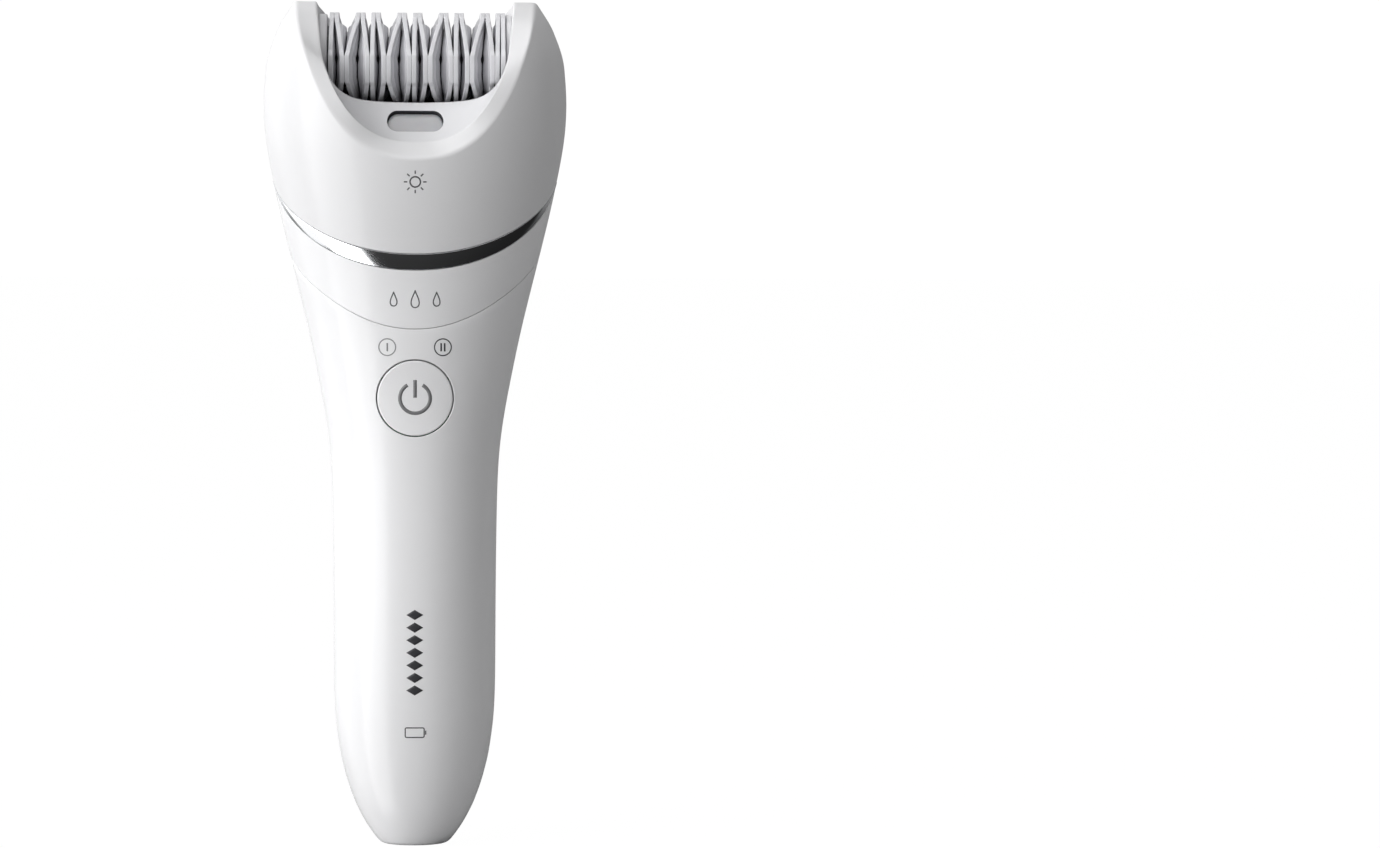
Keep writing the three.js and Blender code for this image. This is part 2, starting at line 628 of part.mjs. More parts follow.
function tweezerDisc(index) {
  const { top, front } = discPlaces(index);
  const half = DISC.thickness / 2;
  const profile = [
    [BARREL.innerRadius, -half], [BARREL.padRadius, -half], [BARREL.padRadius, half],
    [BARREL.innerRadius, half], [BARREL.innerRadius, -half],
  ].map(([r, x]) => new THREE.Vector2(r, x));
  const geometry = new THREE.LatheGeometry(profile, DISC.segments);
  geometry.rotateZ(-Math.PI / 2);
  geometry.rotateX(THREE.MathUtils.degToRad(DISC.firstRow));
  const spot = geometry.attributes.position;
  for (let i = 0; i < spot.count; i += 1) {
    const y = spot.getY(i);
    const z = spot.getZ(i);
    const angle = THREE.MathUtils.radToDeg(Math.atan2(z, y));
    const turn = THREE.MathUtils.euclideanModulo(angle - DISC.firstRow, 180);
    const share = THREE.MathUtils.clamp((Math.min(turn, 180 - turn) - 15) / 60, 0, 1);
    const onPad = share < 0.001 || share > 0.999;
    const outer = Math.hypot(y, z) > (BARREL.innerRadius + BARREL.padRadius) / 2;
    const scale = outer && !onPad ? BARREL.legRadius / BARREL.padRadius : 1;
    spot.setXYZ(i, spot.getX(i) + top + (front - top) * share, y * scale, z * scale);
  }
  const name = `tweezer_disc_${String(index + 1).padStart(2, '0')}`;
  return piece(name, solid(geometry), DISC_WHITE);
}

function barrelParts() {
  const half = BARREL.halfLength;
  const sleeve = rodX(BARREL.sleeveRadius, [-23.6, 23.6]);
  const hub = rodX(BARREL.hubRadius, [-half, half], 0, 0, 28);
  const drum = hub.add(sleeve).subtract(rodX(BARREL.axleRadius + 0.1, [-30, 30], 0, 0, 16));
  const gear = spurGear(TEETH.barrel, -Math.PI / 2, 0, 0);
  const parts = [
    piece('barrel_drum', drum, SATIN_WHITE),
    piece('barrel_gear', gear.subtract(rodX(BARREL.sleeveRadius + 0.2, [20, 30])), NATURAL_NYLON),
  ];
  for (let i = 0; i < DISC.count; i += 1) {
    parts.push(tweezerDisc(i));
  }
  return parts;
}

// ---------------------------------------------------------------- assembly

const handle = new THREE.Group();
handle.add(
  ...handleShells(), neckCollar(), neckBulkhead(), shaftSeal(), ...chargingSocket(), chassisFrame(),
  mainBoard(), ...boardScrews(), battery(), ...motorAndMount(), ...lightGuides(), powerSwitch(),
  buttonSeal(), powerButton(), ...releaseParts(), releaseSpring(), ...motorRotor(),
);

const barrel = new THREE.Group();
barrel.position.set(0, BARREL.y, BARREL.z);
barrel.add(...barrelParts());

const head = new THREE.Group();
head.add(
  headShell(), chromeBand(), headBase(), barrelCradle(), ...headLight(), ...bearingPlates(),
  barrelAxle(), gearBracket(), idlerGear(), ...crownParts(), barrel,
);

const epilator = new THREE.Group();
epilator.add(handle, head);

export default epilator;
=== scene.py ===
import math

import bmesh
import bpy
import numpy as np
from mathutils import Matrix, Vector


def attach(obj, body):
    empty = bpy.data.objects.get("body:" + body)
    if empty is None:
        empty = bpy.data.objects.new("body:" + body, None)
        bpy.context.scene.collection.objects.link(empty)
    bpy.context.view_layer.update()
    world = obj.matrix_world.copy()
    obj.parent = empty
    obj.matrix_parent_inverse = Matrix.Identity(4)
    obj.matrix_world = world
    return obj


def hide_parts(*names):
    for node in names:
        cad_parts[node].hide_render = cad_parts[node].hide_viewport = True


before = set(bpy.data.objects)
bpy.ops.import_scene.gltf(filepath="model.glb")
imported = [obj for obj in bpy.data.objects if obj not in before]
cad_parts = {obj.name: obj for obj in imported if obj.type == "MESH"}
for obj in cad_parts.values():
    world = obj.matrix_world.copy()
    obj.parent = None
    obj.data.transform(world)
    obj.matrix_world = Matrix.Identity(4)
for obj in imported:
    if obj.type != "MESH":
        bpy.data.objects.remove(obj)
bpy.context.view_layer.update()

# Hand-held epilator. Sizes are millimetres until a mesh is made, and the frame is in metres.
# +Z runs up the handle, the button side faces -Y, and the origin is under the foot.

MM = 0.001

# ---------------------------------------------------------------- driving dimensions

HEIGHT = 175.0
WALL = 2.0
SEAM = 0.09
EDGE = 0.2
SECTION_POWER = 2.1

# Half-width, half-depth and front-to-back centre of the body at heights above the foot.
HALF_WIDTH = [
    (0, 7), (1.5, 8.25), (3.6, 9.75), (6.4, 11.35), (9.1, 12.6), (14.7, 14.5), (20.2, 15.75), (30, 16.8),
    (52, 16.9), (78, 17.3), (103, 21.2), (119, 25), (136, 29), (152, 31.5), (161, 31), (169, 28.6),
    (HEIGHT, 25),
]
HALF_DEPTH = [
    (0, 7), (1.5, 8.1), (3.6, 9.35), (6.4, 10.7), (9.1, 11.75), (14.7, 13.4), (20.2, 14.6), (30, 16),
    (52, 17), (78, 16.8), (103, 17.5), (119, 19.2), (140, 22), (152, 22.8), (163, 21.5), (HEIGHT, 17),
]
CENTRE_Y = [(0, 2.4), (40, 3.6), (80, 4.4), (110, 3.2), (135, 0.5), (152, -0.3), (HEIGHT, -0.3)]

# The foot's edge radius, and how far the underside runs in from it to the socket.
FOOT_ROUND = 0.8
UNDERSIDE = 2.7
SOCKET = {"y": 2.4, "half_width": 5.95, "half_depth": 4.15, "power": 8}
SPLIT_Y = 3.5

# Each seam starts at a height in front and climbs towards the back.
HEAD_SEAM = {"front": 123.7, "y": -17.3, "rise": 50, "reach": 50}
COLLAR_SEAM = {"front": 108.1, "y": -14.3, "rise": 22, "reach": 14}
BAND = {"height": 4.2, "depth": 1.4, "tip_y": -0.5, "length": 18, "taper": 1.5, "crown": 0.1}

# Openings are cut from a block of the wall's mesh that is larger by this margin.
HOLE_MARGIN = 2.4
BUTTON = {"z": 93.4, "hole": 8.0, "radius": 7.76, "dish": 0.35, "depth": 1.6, "stem_end": -9.2}
RELEASE = {"z": 138, "half_width": 6.4, "half_height": 4.4, "gap": 0.25, "depth": 1.8, "stem": (20, 15.1),
           "ridge_pitch": 2.1}

# The barrel's axis runs along X. Pad, leg, shoulder and core are radii of its discs.
BARREL = {"y": -1, "z": 162.6, "pad": 10.2, "leg": 9.5, "shoulder": 7.7, "core": 5.6, "half": 18.6,
          "left_end": -17.95, "right_end": 18.58}

# The discs pinch in pairs, along one row on top and one in front, with every second pair shifted.
DISC = {"count": 18, "thickness": 0.9, "gap": 0.1, "pitch": 4.28, "first_row": 100}
TOP_ROW = {"middle": 0.45, "odd_shift": 1.1}
FRONT_ROW = {"middle": -0.75, "odd_shift": -0.92}

# The bay round the barrel, the lip in front of it, the light's window under the lip, and the cheeks.
BAY = {"radius": 11, "half": 18.75, "wall": 1.3, "lip": 1.25}
LIP = {"z": 154.1, "arch": 0.5, "arch_x": 12, "climb": 2.4, "climb_x": 16.4}
WINDOW = {"z": 150.2, "half_width": 5.65, "half_height": 2.05, "sink": 0.8, "thickness": 1.6, "crown": 0.35}
CHEEK = {"x": 19.9, "near_right": 18.68, "near_left": 18.1, "half_depth": 8.9, "half_height": 9.9,
         "bore": 0.36}

# The head's rim: its outer edge climbs from z in front to the ears, and its inner edge from inner_z.
RIM = {"half": 25.0, "inner_half": 20.25, "z": 142.5, "inner_z": 146.2, "back_z": 167.8, "reach": 26,
       "rise": 50, "inner_rise": 27, "flare": 0.25, "outer_round": 0.7, "inner_round": 0.6}

# Heights and places of the printed marks.
MARKS = {"speed_x": 5.7, "speed": 103.9, "sun": 137.7, "drops": 113.8, "lozenges": (33.2, 48.8),
         "battery": 24.4}

# ---------------------------------------------------------------- small shared geometry


def smooth_step(low, high, value):
    share = np.clip((value - low) / (high - low), 0, 1)
    return share * share * (3 - 2 * share)


def bisect(low, high, excess):
    """Where excess() turns from negative to positive, for every entry of low and high at once."""
    for _ in range(44):
        middle = (low + high) / 2
        above = excess(middle) > 0
        high = np.where(above, middle, high)
        low = np.where(above, low, middle)
    return (low + high) / 2


def soften(run, corners, steps=4):
    """Rounds corners in a run of matching rows of points. corners holds place: radius."""
    softened = []
    for place, here in enumerate(run):
        radius = corners.get(place, 0)
        if radius == 0:
            softened.append(here)
            continue
        ends, holds = [], []
        for neighbour in (run[place - 1], run[(place + 1) % len(run)]):
            way = neighbour - here
            length = np.linalg.norm(way, axis=1, keepdims=True) + 1e-9
            ends.append(here + way / length * np.minimum(radius, 0.4 * length))
            holds.append(here + way / length * np.minimum(radius * 1.35, 0.48 * length))
        softened.append(holds[0])
        for share in np.linspace(0, 1, steps + 1):
            bent = (1 - share) ** 2 * ends[0] + 2 * share * (1 - share) * here
            softened.append(bent + share**2 * ends[1])
        softened.append(holds[1])
    return softened


def signed_power(value, power):
    return np.sign(value) * np.abs(value) ** power


def full_turn(count):
    return np.linspace(0, 2 * math.pi, count, endpoint=False)


def polar_circle(radius):
    return lambda turn: np.stack([radius * np.cos(turn), radius * np.sin(turn)], axis=-1)


def polar_stadium(half_length, half_height):
    """Outline of a slot with round ends, by the direction from its middle."""
    straight = half_length - half_height

    def outline(turn):
        across, up = np.abs(np.cos(turn)), np.abs(np.sin(turn))
        flat = half_height / np.maximum(up, 1e-6)
        inside = np.maximum(half_height**2 - (straight * up) ** 2, 0)
        reach = np.where(flat * across <= straight, flat, straight * across + np.sqrt(inside))
        return np.stack([reach * np.cos(turn), reach * np.sin(turn)], axis=-1)

    return outline


class Moulding:
    """A mesh under construction, in millimetres."""

    def __init__(self, name):
        self.name = name
        self.points = []
        self.faces = []
        self.tints = []

    def add(self, points):
        first = len(self.points)
        self.points.extend(map(tuple, np.asarray(points, float)))
        return np.arange(first, len(self.points))

    def face(self, corners, tint=0):
        self.faces.append(tuple(int(c) for c in corners))
        self.tints.append(tint)

    def band(self, one, other, tint):
        """Quads between two loops."""
        for i in range(len(one)):
            j = (i + 1) % len(one)
            self.face((one[i], one[j], other[j], other[i]), tint)

    def net(self, rows, wrap_rows=False, holes=(), tint_of=None):
        """Quads over rows of closed loops, leaving out each hole's block of cells. Returns the numbering."""
        grid = np.array([self.add(row) for row in rows])
        height, width = grid.shape
        for r in range(height if wrap_rows else height - 1):
            for c in range(width):
                if any(r0 <= r < r1 and c0 <= c < c1 for r0, r1, c0, c1 in holes):
                    continue
                below, beside = (r + 1) % height, (c + 1) % width
                tint = tint_of(r, c) if tint_of else 0
                self.face((grid[r, c], grid[r, beside], grid[below, beside], grid[below, c]), tint)
        return grid

    def capped_net(self, rows):
        """A net of closed loops with both ends filled."""
        grid = self.net(rows)
        self.fan(grid[0])
        self.fan(grid[-1])

    def fan(self, loop):
        centre = self.add([np.mean([self.points[i] for i in loop], axis=0)])[0]
        for i in range(len(loop)):
            self.face((loop[i], loop[(i + 1) % len(loop)], centre))

    def zip_ends(self, loop):
        """Closes a flat, thin loop by joining each point with its partner on the other side."""
        last = len(loop) - 1
        for i in range(len(loop) // 2 - 1):
            self.face((loop[i], loop[i + 1], loop[last - i - 1], loop[last - i]))

    def pierce(self, grid, far_grid, block, z, outline, lift, wall, edge=EDGE, painted_wall_shade_tint=0):
        """Fills the ring between a block left out of both faces of a wall and a hole at x = 0 and z.

        far_grid is the grid turned over, so that the same block finds the wall's other face."""
        outer_loop, inner_loop = block_loop(grid, *block), block_loop(far_grid, *block)
        spots = np.array([self.points[i] for i in outer_loop])[:, [0, 2]]
        centre = np.array([0, z])
        offset = spots - centre
        target = centre + outline(np.arctan2(offset[:, 1], offset[:, 0]))

        def ring(share, depth):
            at = spots + (target - spots) * share
            return lift(at[:, 0], at[:, 1], depth)

        run = [ring(share, 0) for share in (0.3, 0.55, 0.8)]
        run += [ring(1, 0), ring(1, wall), ring(0.7, wall), ring(0.35, wall)]
        loops = [outer_loop] + [self.add(row) for row in soften(run, {3: edge, 4: edge})] + [inner_loop]
        # Faces from the hole's rim inwards take the wall's own tint, which paints shade in the hole when it
        # is not 0.
        through_wall = 7
        for place, (one, other) in enumerate(zip(loops, loops[1:])):
            self.band(one, other, 0 if place < through_wall else painted_wall_shade_tint)

    def cast(self, body, finishes, replaces=()):
        """Makes the object, gives it its finish and its place in the frame."""
        mesh = bpy.data.meshes.new(self.name)
        mesh.from_pydata([tuple(MM * v for v in p) for p in self.points], [], self.faces)
        for finish in finishes:
            mesh.materials.append(finish)
        mesh.polygons.foreach_set("material_index", self.tints)
        shape = bmesh.new()
        shape.from_mesh(mesh)
        bmesh.ops.remove_doubles(shape, verts=shape.verts, dist=1e-8)
        bmesh.ops.recalc_face_normals(shape, faces=shape.faces)
        shape.to_mesh(mesh)
        shape.free()
        mesh.polygons.foreach_set("use_smooth", [True] * len(mesh.polygons))
        piece = bpy.data.objects.new(self.name, mesh)
        bpy.context.scene.collection.objects.link(piece)
        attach(piece, body)
        if replaces:
            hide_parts(*replaces)
        return piece


def block_loop(grid, r0, r1, c0, c1):
    """The numbers round a block of cells, in order."""
    return np.concatenate([
        grid[r0, c0:c1], grid[r0:r1, c1], grid[r1, c1:c0:-1], grid[r1:r0:-1, c0],
    ])


# ---------------------------------------------------------------- body form

GRID_STEP = 0.25
GRID = np.arange(0, HEIGHT + GRID_STEP / 2, GRID_STEP)
EASE = 4.5
SEAM_RANGE = (85.0, 172.0)


def profile(points):
    """A cubic through the points that never overshoots, eased so that reflections run clean."""
    z, value = np.array(points, float).T
    slope = np.diff(value) / np.diff(z)
    tangent = np.concatenate([slope[:1], np.zeros(len(z) - 2), slope[-1:]])
    same = slope[:-1] * slope[1:] > 0
    tangent[1:-1][same] = 2 * (slope[:-1] * slope[1:])[same] / (slope[:-1] + slope[1:])[same]
    i = np.clip(np.searchsorted(z, GRID, side="right") - 1, 0, len(z) - 2)
    span = z[i + 1] - z[i]
    t = (GRID - z[i]) / span
    blend = t * t * (3 - 2 * t)
    bend = span * t * (1 - t) * ((1 - t) * tangent[i] - t * tangent[i + 1])
    raw = value[i] * (1 - blend) + value[i + 1] * blend + bend
    reach = int(4 * EASE / GRID_STEP)
    kernel = np.exp(-0.5 * (np.arange(-reach, reach + 1) * GRID_STEP / EASE) ** 2)
    padded = np.pad(raw, reach, mode="reflect", reflect_type="odd")
    eased = np.convolve(padded, kernel / kernel.sum(), "valid")
    # The foot and the ears keep the curve as it is.
    weight = smooth_step(10, 34, GRID) * (1 - smooth_step(150, 166, GRID))
    return raw * (1 - weight) + eased * weight


WIDTH, DEPTH, CENTRE = profile(HALF_WIDTH), profile(HALF_DEPTH), profile(CENTRE_Y)


def section(t, inset):
    """Half-width, half-depth, centre, height and squareness at a distance t up the body's side.

    Below zero, t runs in over the underside as far as the socket's opening. An inset of more than
    0.5 mm is the inside of the wall, which ends flat above the underside."""
    t, inset = np.broadcast_arrays(np.asarray(t, float), np.asarray(inset, float))
    inner = np.clip((inset - 0.5) / 0.5, 0, 1)
    at = t + (np.maximum(t, inset) - t) * inner
    turn = np.clip((at + FOOT_ROUND) / (2 * FOOT_ROUND), 0, 1)
    z = np.where(at > FOOT_ROUND, at, turn**2 * FOOT_ROUND)
    lead = (1 - turn) ** 2 * -FOOT_ROUND + np.minimum(at + FOOT_ROUND, 0)
    sizes = []
    for table in (WIDTH, DEPTH):
        side = np.interp(at, GRID, table)
        foot = table[0] + lead + turn**2 * (np.interp(FOOT_ROUND, GRID, table) - table[0])
        sizes.append(np.where(at > FOOT_ROUND, side, foot) - inset)
    z = z + (1 - inner) * inset * np.exp(-z / 4)
    under = np.clip((-t - FOOT_ROUND) / (UNDERSIDE - FOOT_ROUND), 0, 1)
    width = sizes[0] * (1 - under) + SOCKET["half_width"] * under
    depth = sizes[1] * (1 - under) + SOCKET["half_depth"] * under
    power = SECTION_POWER * (1 - under) + SOCKET["power"] * under
    return width, depth, np.interp(z, GRID, CENTRE), z, power


def skin(angle, t, inset=0):
    """Points of the body's surface. Angle 0 is +X and a quarter turn back is the front."""
    width, depth, centre, z, power = section(t, inset)
    x = signed_power(np.cos(angle), 2 / power) * width
    y = signed_power(np.sin(angle), 2 / power) * depth + centre
    return np.stack(np.broadcast_arrays(x, y, z), axis=-1)


def turn_at(y, t, inset=0):
    """Angle at which the right side of the surface passes a y."""
    _, depth, centre, _, power = section(t, inset)
    return np.arcsin(signed_power(np.clip((y - centre) / depth, -1, 1), power / 2))


def skin_over(side):
    """Points of the surface straight behind an (x, z) seen from the front (-1) or the back (+1)."""

    def lift(x, z, inset):
        width, depth, centre, _, power = section(z, inset)
        share = np.clip(1 - np.abs(x / width) ** power, 0, 1) ** (1 / power)
        return np.stack(np.broadcast_arrays(x, centre + side * depth * share, z), axis=-1)

    return lift


front_skin = skin_over(-1)
back_skin = skin_over(1)


def seam_height(seam, y):
    return seam["front"] + seam["rise"] * (1 - np.exp(-(y - seam["y"]) / seam["reach"]))


def band_foot(y):
    share = np.maximum(0, (y - HEAD_SEAM["y"]) / BAND["length"])
    return seam_height(HEAD_SEAM, y) - BAND["height"] * np.maximum(0, 1 - share ** BAND["taper"])


def head_line(y):
    return seam_height(HEAD_SEAM, y)


def collar_line(y):
    return seam_height(COLLAR_SEAM, y)


def seam_on(angle_at, line):
    """Height at which each column of the skin meets a seam line."""
    low, high = SEAM_RANGE
    size = np.shape(angle_at(low))
    return bisect(np.full(size, low), np.full(size, high), lambda t: t - line(skin(angle_at(t), t)[..., 1]))


def ring_angles(count):
    return np.linspace(-math.pi, math.pi, count, endpoint=False)


# ---------------------------------------------------------------- handle


def quarter_round(radius):
    """(distance back from an edge, set-in) along a quarter-round, ending at the edge."""
    turns = np.linspace(0, math.pi / 2, 4)
    return [(radius * (1 - math.sin(turn)), radius * (1 - math.cos(turn))) for turn in turns]


def half_shell(name, side, finish, node):
    """One moulding of the handle: the front (side -1) or the back (side +1), split at SPLIT_Y."""
    columns = 132
    edge_y = SPLIT_Y + side * SEAM / 2

    def angle_at(share, t, inset):
        turn = turn_at(edge_y, t, inset)
        left = side * math.pi - turn
        return left + (turn - left) * share

    shares = np.linspace(0, 1, columns + 1)
    top = seam_on(lambda t: angle_at(shares, t, 0), collar_line) - SEAM / 2
    ends = quarter_round(EDGE)
    rows_low = [(-UNDERSIDE + back, set_in) for back, set_in in reversed(ends)]
    rows_low += [(t, 0) for t in (-2, -1.4, -0.8, -0.6, -0.4, -0.2, 0, 0.2, 0.4, 0.6, 0.8, 1.4)]
    rows_low += [(t, 0) for t in np.arange(2, 12)]
    climb = np.linspace(0, 1, 96)[:-1]
    fixed = np.array([t for t, _ in rows_low])
    set_in = np.array([s for _, s in rows_low] + [0] * len(climb) + [s for _, s in ends])

    def column(position, deep):
        high = top[position]
        run = 12 + (high - 1 - 12) * climb
        t = np.concatenate([fixed, run, [high - back for back, _ in ends]])
        inset = WALL - set_in if deep else set_in
        return skin(angle_at(shares[position], t, inset), t, inset)

    run = [column(i, False) for i in range(columns + 1)]
    run += [column(i, True) for i in range(columns, -1, -1)]
    rounded = {0: EDGE, columns: EDGE, columns + 1: EDGE, 2 * columns + 1: EDGE}
    rows = np.array(soften(run, rounded)).transpose(1, 0, 2)
    moulding = Moulding(name)
    width = rows.shape[1]
    holes = []
    if side < 0:
        reach = BUTTON["hole"] + HOLE_MARGIN
        middle = rows[:, width // 4, 2]
        r0, r1 = np.searchsorted(middle, [BUTTON["z"] - reach, BUTTON["z"] + reach])
        line = rows[(r0 + r1) // 2, : width // 2, 0]
        c0, c1 = np.searchsorted(line, [-reach, reach])
        holes = [(r0, r1, c0, c1), (r0, r1, width - 1 - c1, width - 1 - c0)]
    grid = moulding.net(rows, holes=holes)
    moulding.zip_ends(grid[0])
    moulding.zip_ends(grid[-1])
    if side < 0:
        outline = polar_circle(BUTTON["hole"])
        moulding.pierce(grid, grid[:, ::-1], (r0, r1, c0, c1), BUTTON["z"], outline, front_skin, WALL)
    return moulding.cast("handle", [finish], [node])


def neck_collar(finish):
    """The sleeve between the handle and the head, with the release button's opening at the back."""
    angles = ring_angles(264)
    low = seam_on(lambda t: angles, collar_line) + SEAM / 2
    high = seam_on(lambda t: angles, band_foot) - SEAM / 2
    count = 30
    heights = [low + (high - low) * share for share in np.linspace(0, 1, count)]
    run = [skin(angles, t) for t in heights] + [skin(angles, t, WALL) for t in reversed(heights)]
    rows = np.array(soften(run, {0: EDGE, count - 1: EDGE, count: EDGE, 2 * count - 1: EDGE}))
    moulding = Moulding("neck_sleeve")
    back = len(angles) * 3 // 4
    reach_x, reach_z = RELEASE["half_width"] + HOLE_MARGIN, RELEASE["half_height"] + HOLE_MARGIN
    outer_rows = len(rows) // 2
    r0, r1 = np.searchsorted(rows[:outer_rows, back, 2], [RELEASE["z"] - reach_z, RELEASE["z"] + reach_z])
    line = rows[(r0 + r1) // 2, :, 0]
    beside = [c for c in range(back - 60, back + 60) if abs(line[c]) < reach_x]
    c0, c1 = beside[0], beside[-1]
    height = len(rows)
    grid = moulding.net(
        rows, wrap_rows=True, holes=[(r0, r1, c0, c1), (height - 1 - r1, height - 1 - r0, c0, c1)],
    )
    outline = polar_stadium(RELEASE["half_width"] + RELEASE["gap"], RELEASE["half_height"] + RELEASE["gap"])
    moulding.pierce(grid, grid[::-1], (r0, r1, c0, c1), RELEASE["z"], outline, back_skin, WALL)
    return moulding.cast("handle", [finish], ["neck_collar"])


def lifted_ring(outline, share, z, lift, depth):
    """A loop at a share of an outline's size, laid on a surface or at a depth under it."""
    ring = outline(full_turn(144)) * share
    return lift(ring[:, 0], ring[:, 1] + z, depth)


def stem_ring(outline, share, z, y):
    """A flat loop at a share of an outline's size, standing at a y."""
    ring = outline(full_turn(144)) * share
    return np.stack([ring[:, 0], np.full(len(ring), y), ring[:, 1] + z], axis=-1)


def button_dish(x, z):
    """How far the button's face is hollowed at a point."""
    share = ((x**2) + (z - BUTTON["z"]) ** 2) / BUTTON["radius"] ** 2
    return 0.04 + BUTTON["dish"] * np.clip(1 - share, 0, 1)


def on_button(x, z, depth):
    return front_skin(x, z, button_dish(x, z) + depth)


def power_button(finish):
    """Round cap with a dished face and a stem that reaches the switch."""
    outline, z = polar_circle(BUTTON["radius"]), BUTTON["z"]
    shares = (0.03, 0.12, 0.25, 0.4, 0.55, 0.7, 0.82, 0.91, 1)
    loops = [lifted_ring(outline, share, z, on_button, 0) for share in shares]
    loops += [lifted_ring(outline, share, z, front_skin, BUTTON["depth"]) for share in (1, 0.6, 0.28)]
    loops += [stem_ring(outline, share, z, BUTTON["stem_end"]) for share in (0.257, 0.03)]
    moulding = Moulding("power_button_cap")
    moulding.capped_net(soften(loops, {8: 0.32, 9: 0.2, 11: 0.3, 12: 0.3}))
    return moulding.cast("power_button", [finish], ["power_button"])


def release_button(finish):
    """Slot-shaped push with four finger ridges and a stem that reaches the latch."""
    outline, z = polar_stadium(RELEASE["half_width"], RELEASE["half_height"]), RELEASE["z"]

    def ridged(x, height, depth):
        ring = np.stack([x, height - z], axis=-1)
        size = np.linalg.norm(outline(np.arctan2(ring[:, 1], ring[:, 0])), axis=1)
        fade = smooth_step(1, 0.75, np.linalg.norm(ring, axis=1) / size)
        ridge = 0.3 * (0.5 - 0.5 * np.cos(2 * math.pi * ring[:, 1] / RELEASE["ridge_pitch"])) * fade
        return back_skin(x, height, depth + ridge)

    loops = [lifted_ring(outline, share, z, ridged, 0.05) for share in (0.02, *np.linspace(0.06, 1, 26))]
    face = len(loops)
    loops += [lifted_ring(outline, share, z, back_skin, RELEASE["depth"]) for share in (1, 0.7)]
    far, near = RELEASE["stem"]
    loops += [stem_ring(outline, share, z, y) for y, share in ((far, 0.34), (near, 0.34), (near, 0.02))]
    moulding = Moulding("release_button_cap")
    moulding.capped_net(soften(loops, {face - 1: 0.2, face: 0.2, face + 3: 0.2}))
    return moulding.cast("release_button", [finish], ["release_button"])


def charging_socket(finish):
    """Recessed inlet in the underside, with a rounded mouth."""
    path = [
        (0.2, 0.15, 13), (5.6, 3.8, 13), (5.6, 3.8, 0.4), (4.3, 2.5, 0.4), (4.3, 2.5, 9.6), (0.2, 0.12, 9.6),
    ]
    turns, squareness = full_turn(64), 9
    across, along = (signed_power(way(turns), 2 / squareness) for way in (np.cos, np.sin))
    loops = []
    for half_width, half_depth, z in path:
        x, y = across * half_width, along * half_depth + SOCKET["y"]
        loops.append(np.stack([x, y, np.full(len(turns), z)], axis=-1))
    moulding = Moulding("charging_inlet")
    moulding.capped_net(soften(loops, {1: 0.4, 2: 0.25, 3: 0.35, 4: 0.3}))
    return moulding.cast("handle", [finish], ["charging_socket"])


# ---------------------------------------------------------------- head


def rim_front(x):
    share = np.clip(np.abs(x) / RIM["reach"], 0, 1)
    return np.minimum(RIM["z"] + RIM["rise"] * (1 - (1 - share**2.4) ** (1 / 2.2)), HEIGHT)


def rim_back(x):
    return np.minimum(RIM["back_z"] + (HEIGHT - RIM["back_z"]) * np.abs(x / RIM["half"]) ** 5, HEIGHT)


def rim_inner_front(x):
    share = np.clip(np.abs(x) / RIM["inner_half"], 0, 1)
    return RIM["inner_z"] + RIM["inner_rise"] * (1 - (1 - share**2.5) ** (1 / 1.8))


def rim_edges(angles):
    """The rim's outer edge on the skin and its inner edge, at each angle."""
    front = np.sin(angles) < 0

    def excess(t):
        x = skin(angles, t)[:, 0]
        return t - np.where(front, rim_front(x), rim_back(x))

    t = bisect(np.full(len(angles), 135.0), np.full(len(angles), HEIGHT), excess)
    outer = skin(angles, t)
    scale = RIM["inner_half"] / RIM["half"]
    x = outer[:, 0] * scale
    flare = np.where(front, RIM["flare"] * smooth_step(2, RIM["half"], np.abs(outer[:, 0])), 0)
    y = CENTRE[-1] + (outer[:, 1] - CENTRE[-1]) * (scale + flare)
    ear = smooth_step(23.2, RIM["half"], np.abs(outer[:, 0]))
    front_z = rim_inner_front(x) * (1 - ear) + outer[:, 2] * ear
    z = np.where(front, front_z, outer[:, 2] + 0.5 * (1 - ear))
    return t, outer, np.stack([x, y, z], axis=-1)


def head_cover(finish):
    """The head's moulding: skin, broad soft rim, and the walls that drop inside the ears."""
    angles = ring_angles(320)
    low = seam_on(lambda t: angles, head_line) + SEAM / 2
    rim_t, outer, inner = rim_edges(angles)
    count = 46
    shares = np.linspace(0, 1, count)
    under_rim = rim_t - 2.6
    run = [skin(angles, low + (under_rim - low) * share) for share in shares]
    drop = 1.4 + 17 * np.abs(inner[:, 0] / RIM["inner_half"]) ** 7
    slope = outer - inner

    def under_rim_at(share, depth):
        spot = inner + slope * share
        spot[:, 2] = np.minimum(spot[:, 2], inner[:, 2]) - depth
        return spot

    run += [outer, inner, under_rim_at(0, drop), under_rim_at(0.26, drop), under_rim_at(0.32, 1.6)]
    inner_top = rim_t - 3.4
    run += [skin(angles, low + (inner_top - low) * share, WALL) for share in shares[::-1]]
    corners = {0: EDGE, count: RIM["outer_round"], count + 1: RIM["inner_round"], count + 2: 0.3,
               count + 3: 0.3, len(run) - 1: EDGE}
    moulding = Moulding("head_moulding")
    moulding.net(soften(run, corners, 5), wrap_rows=True)
    return moulding.cast("head", [finish], ["head_shell"])


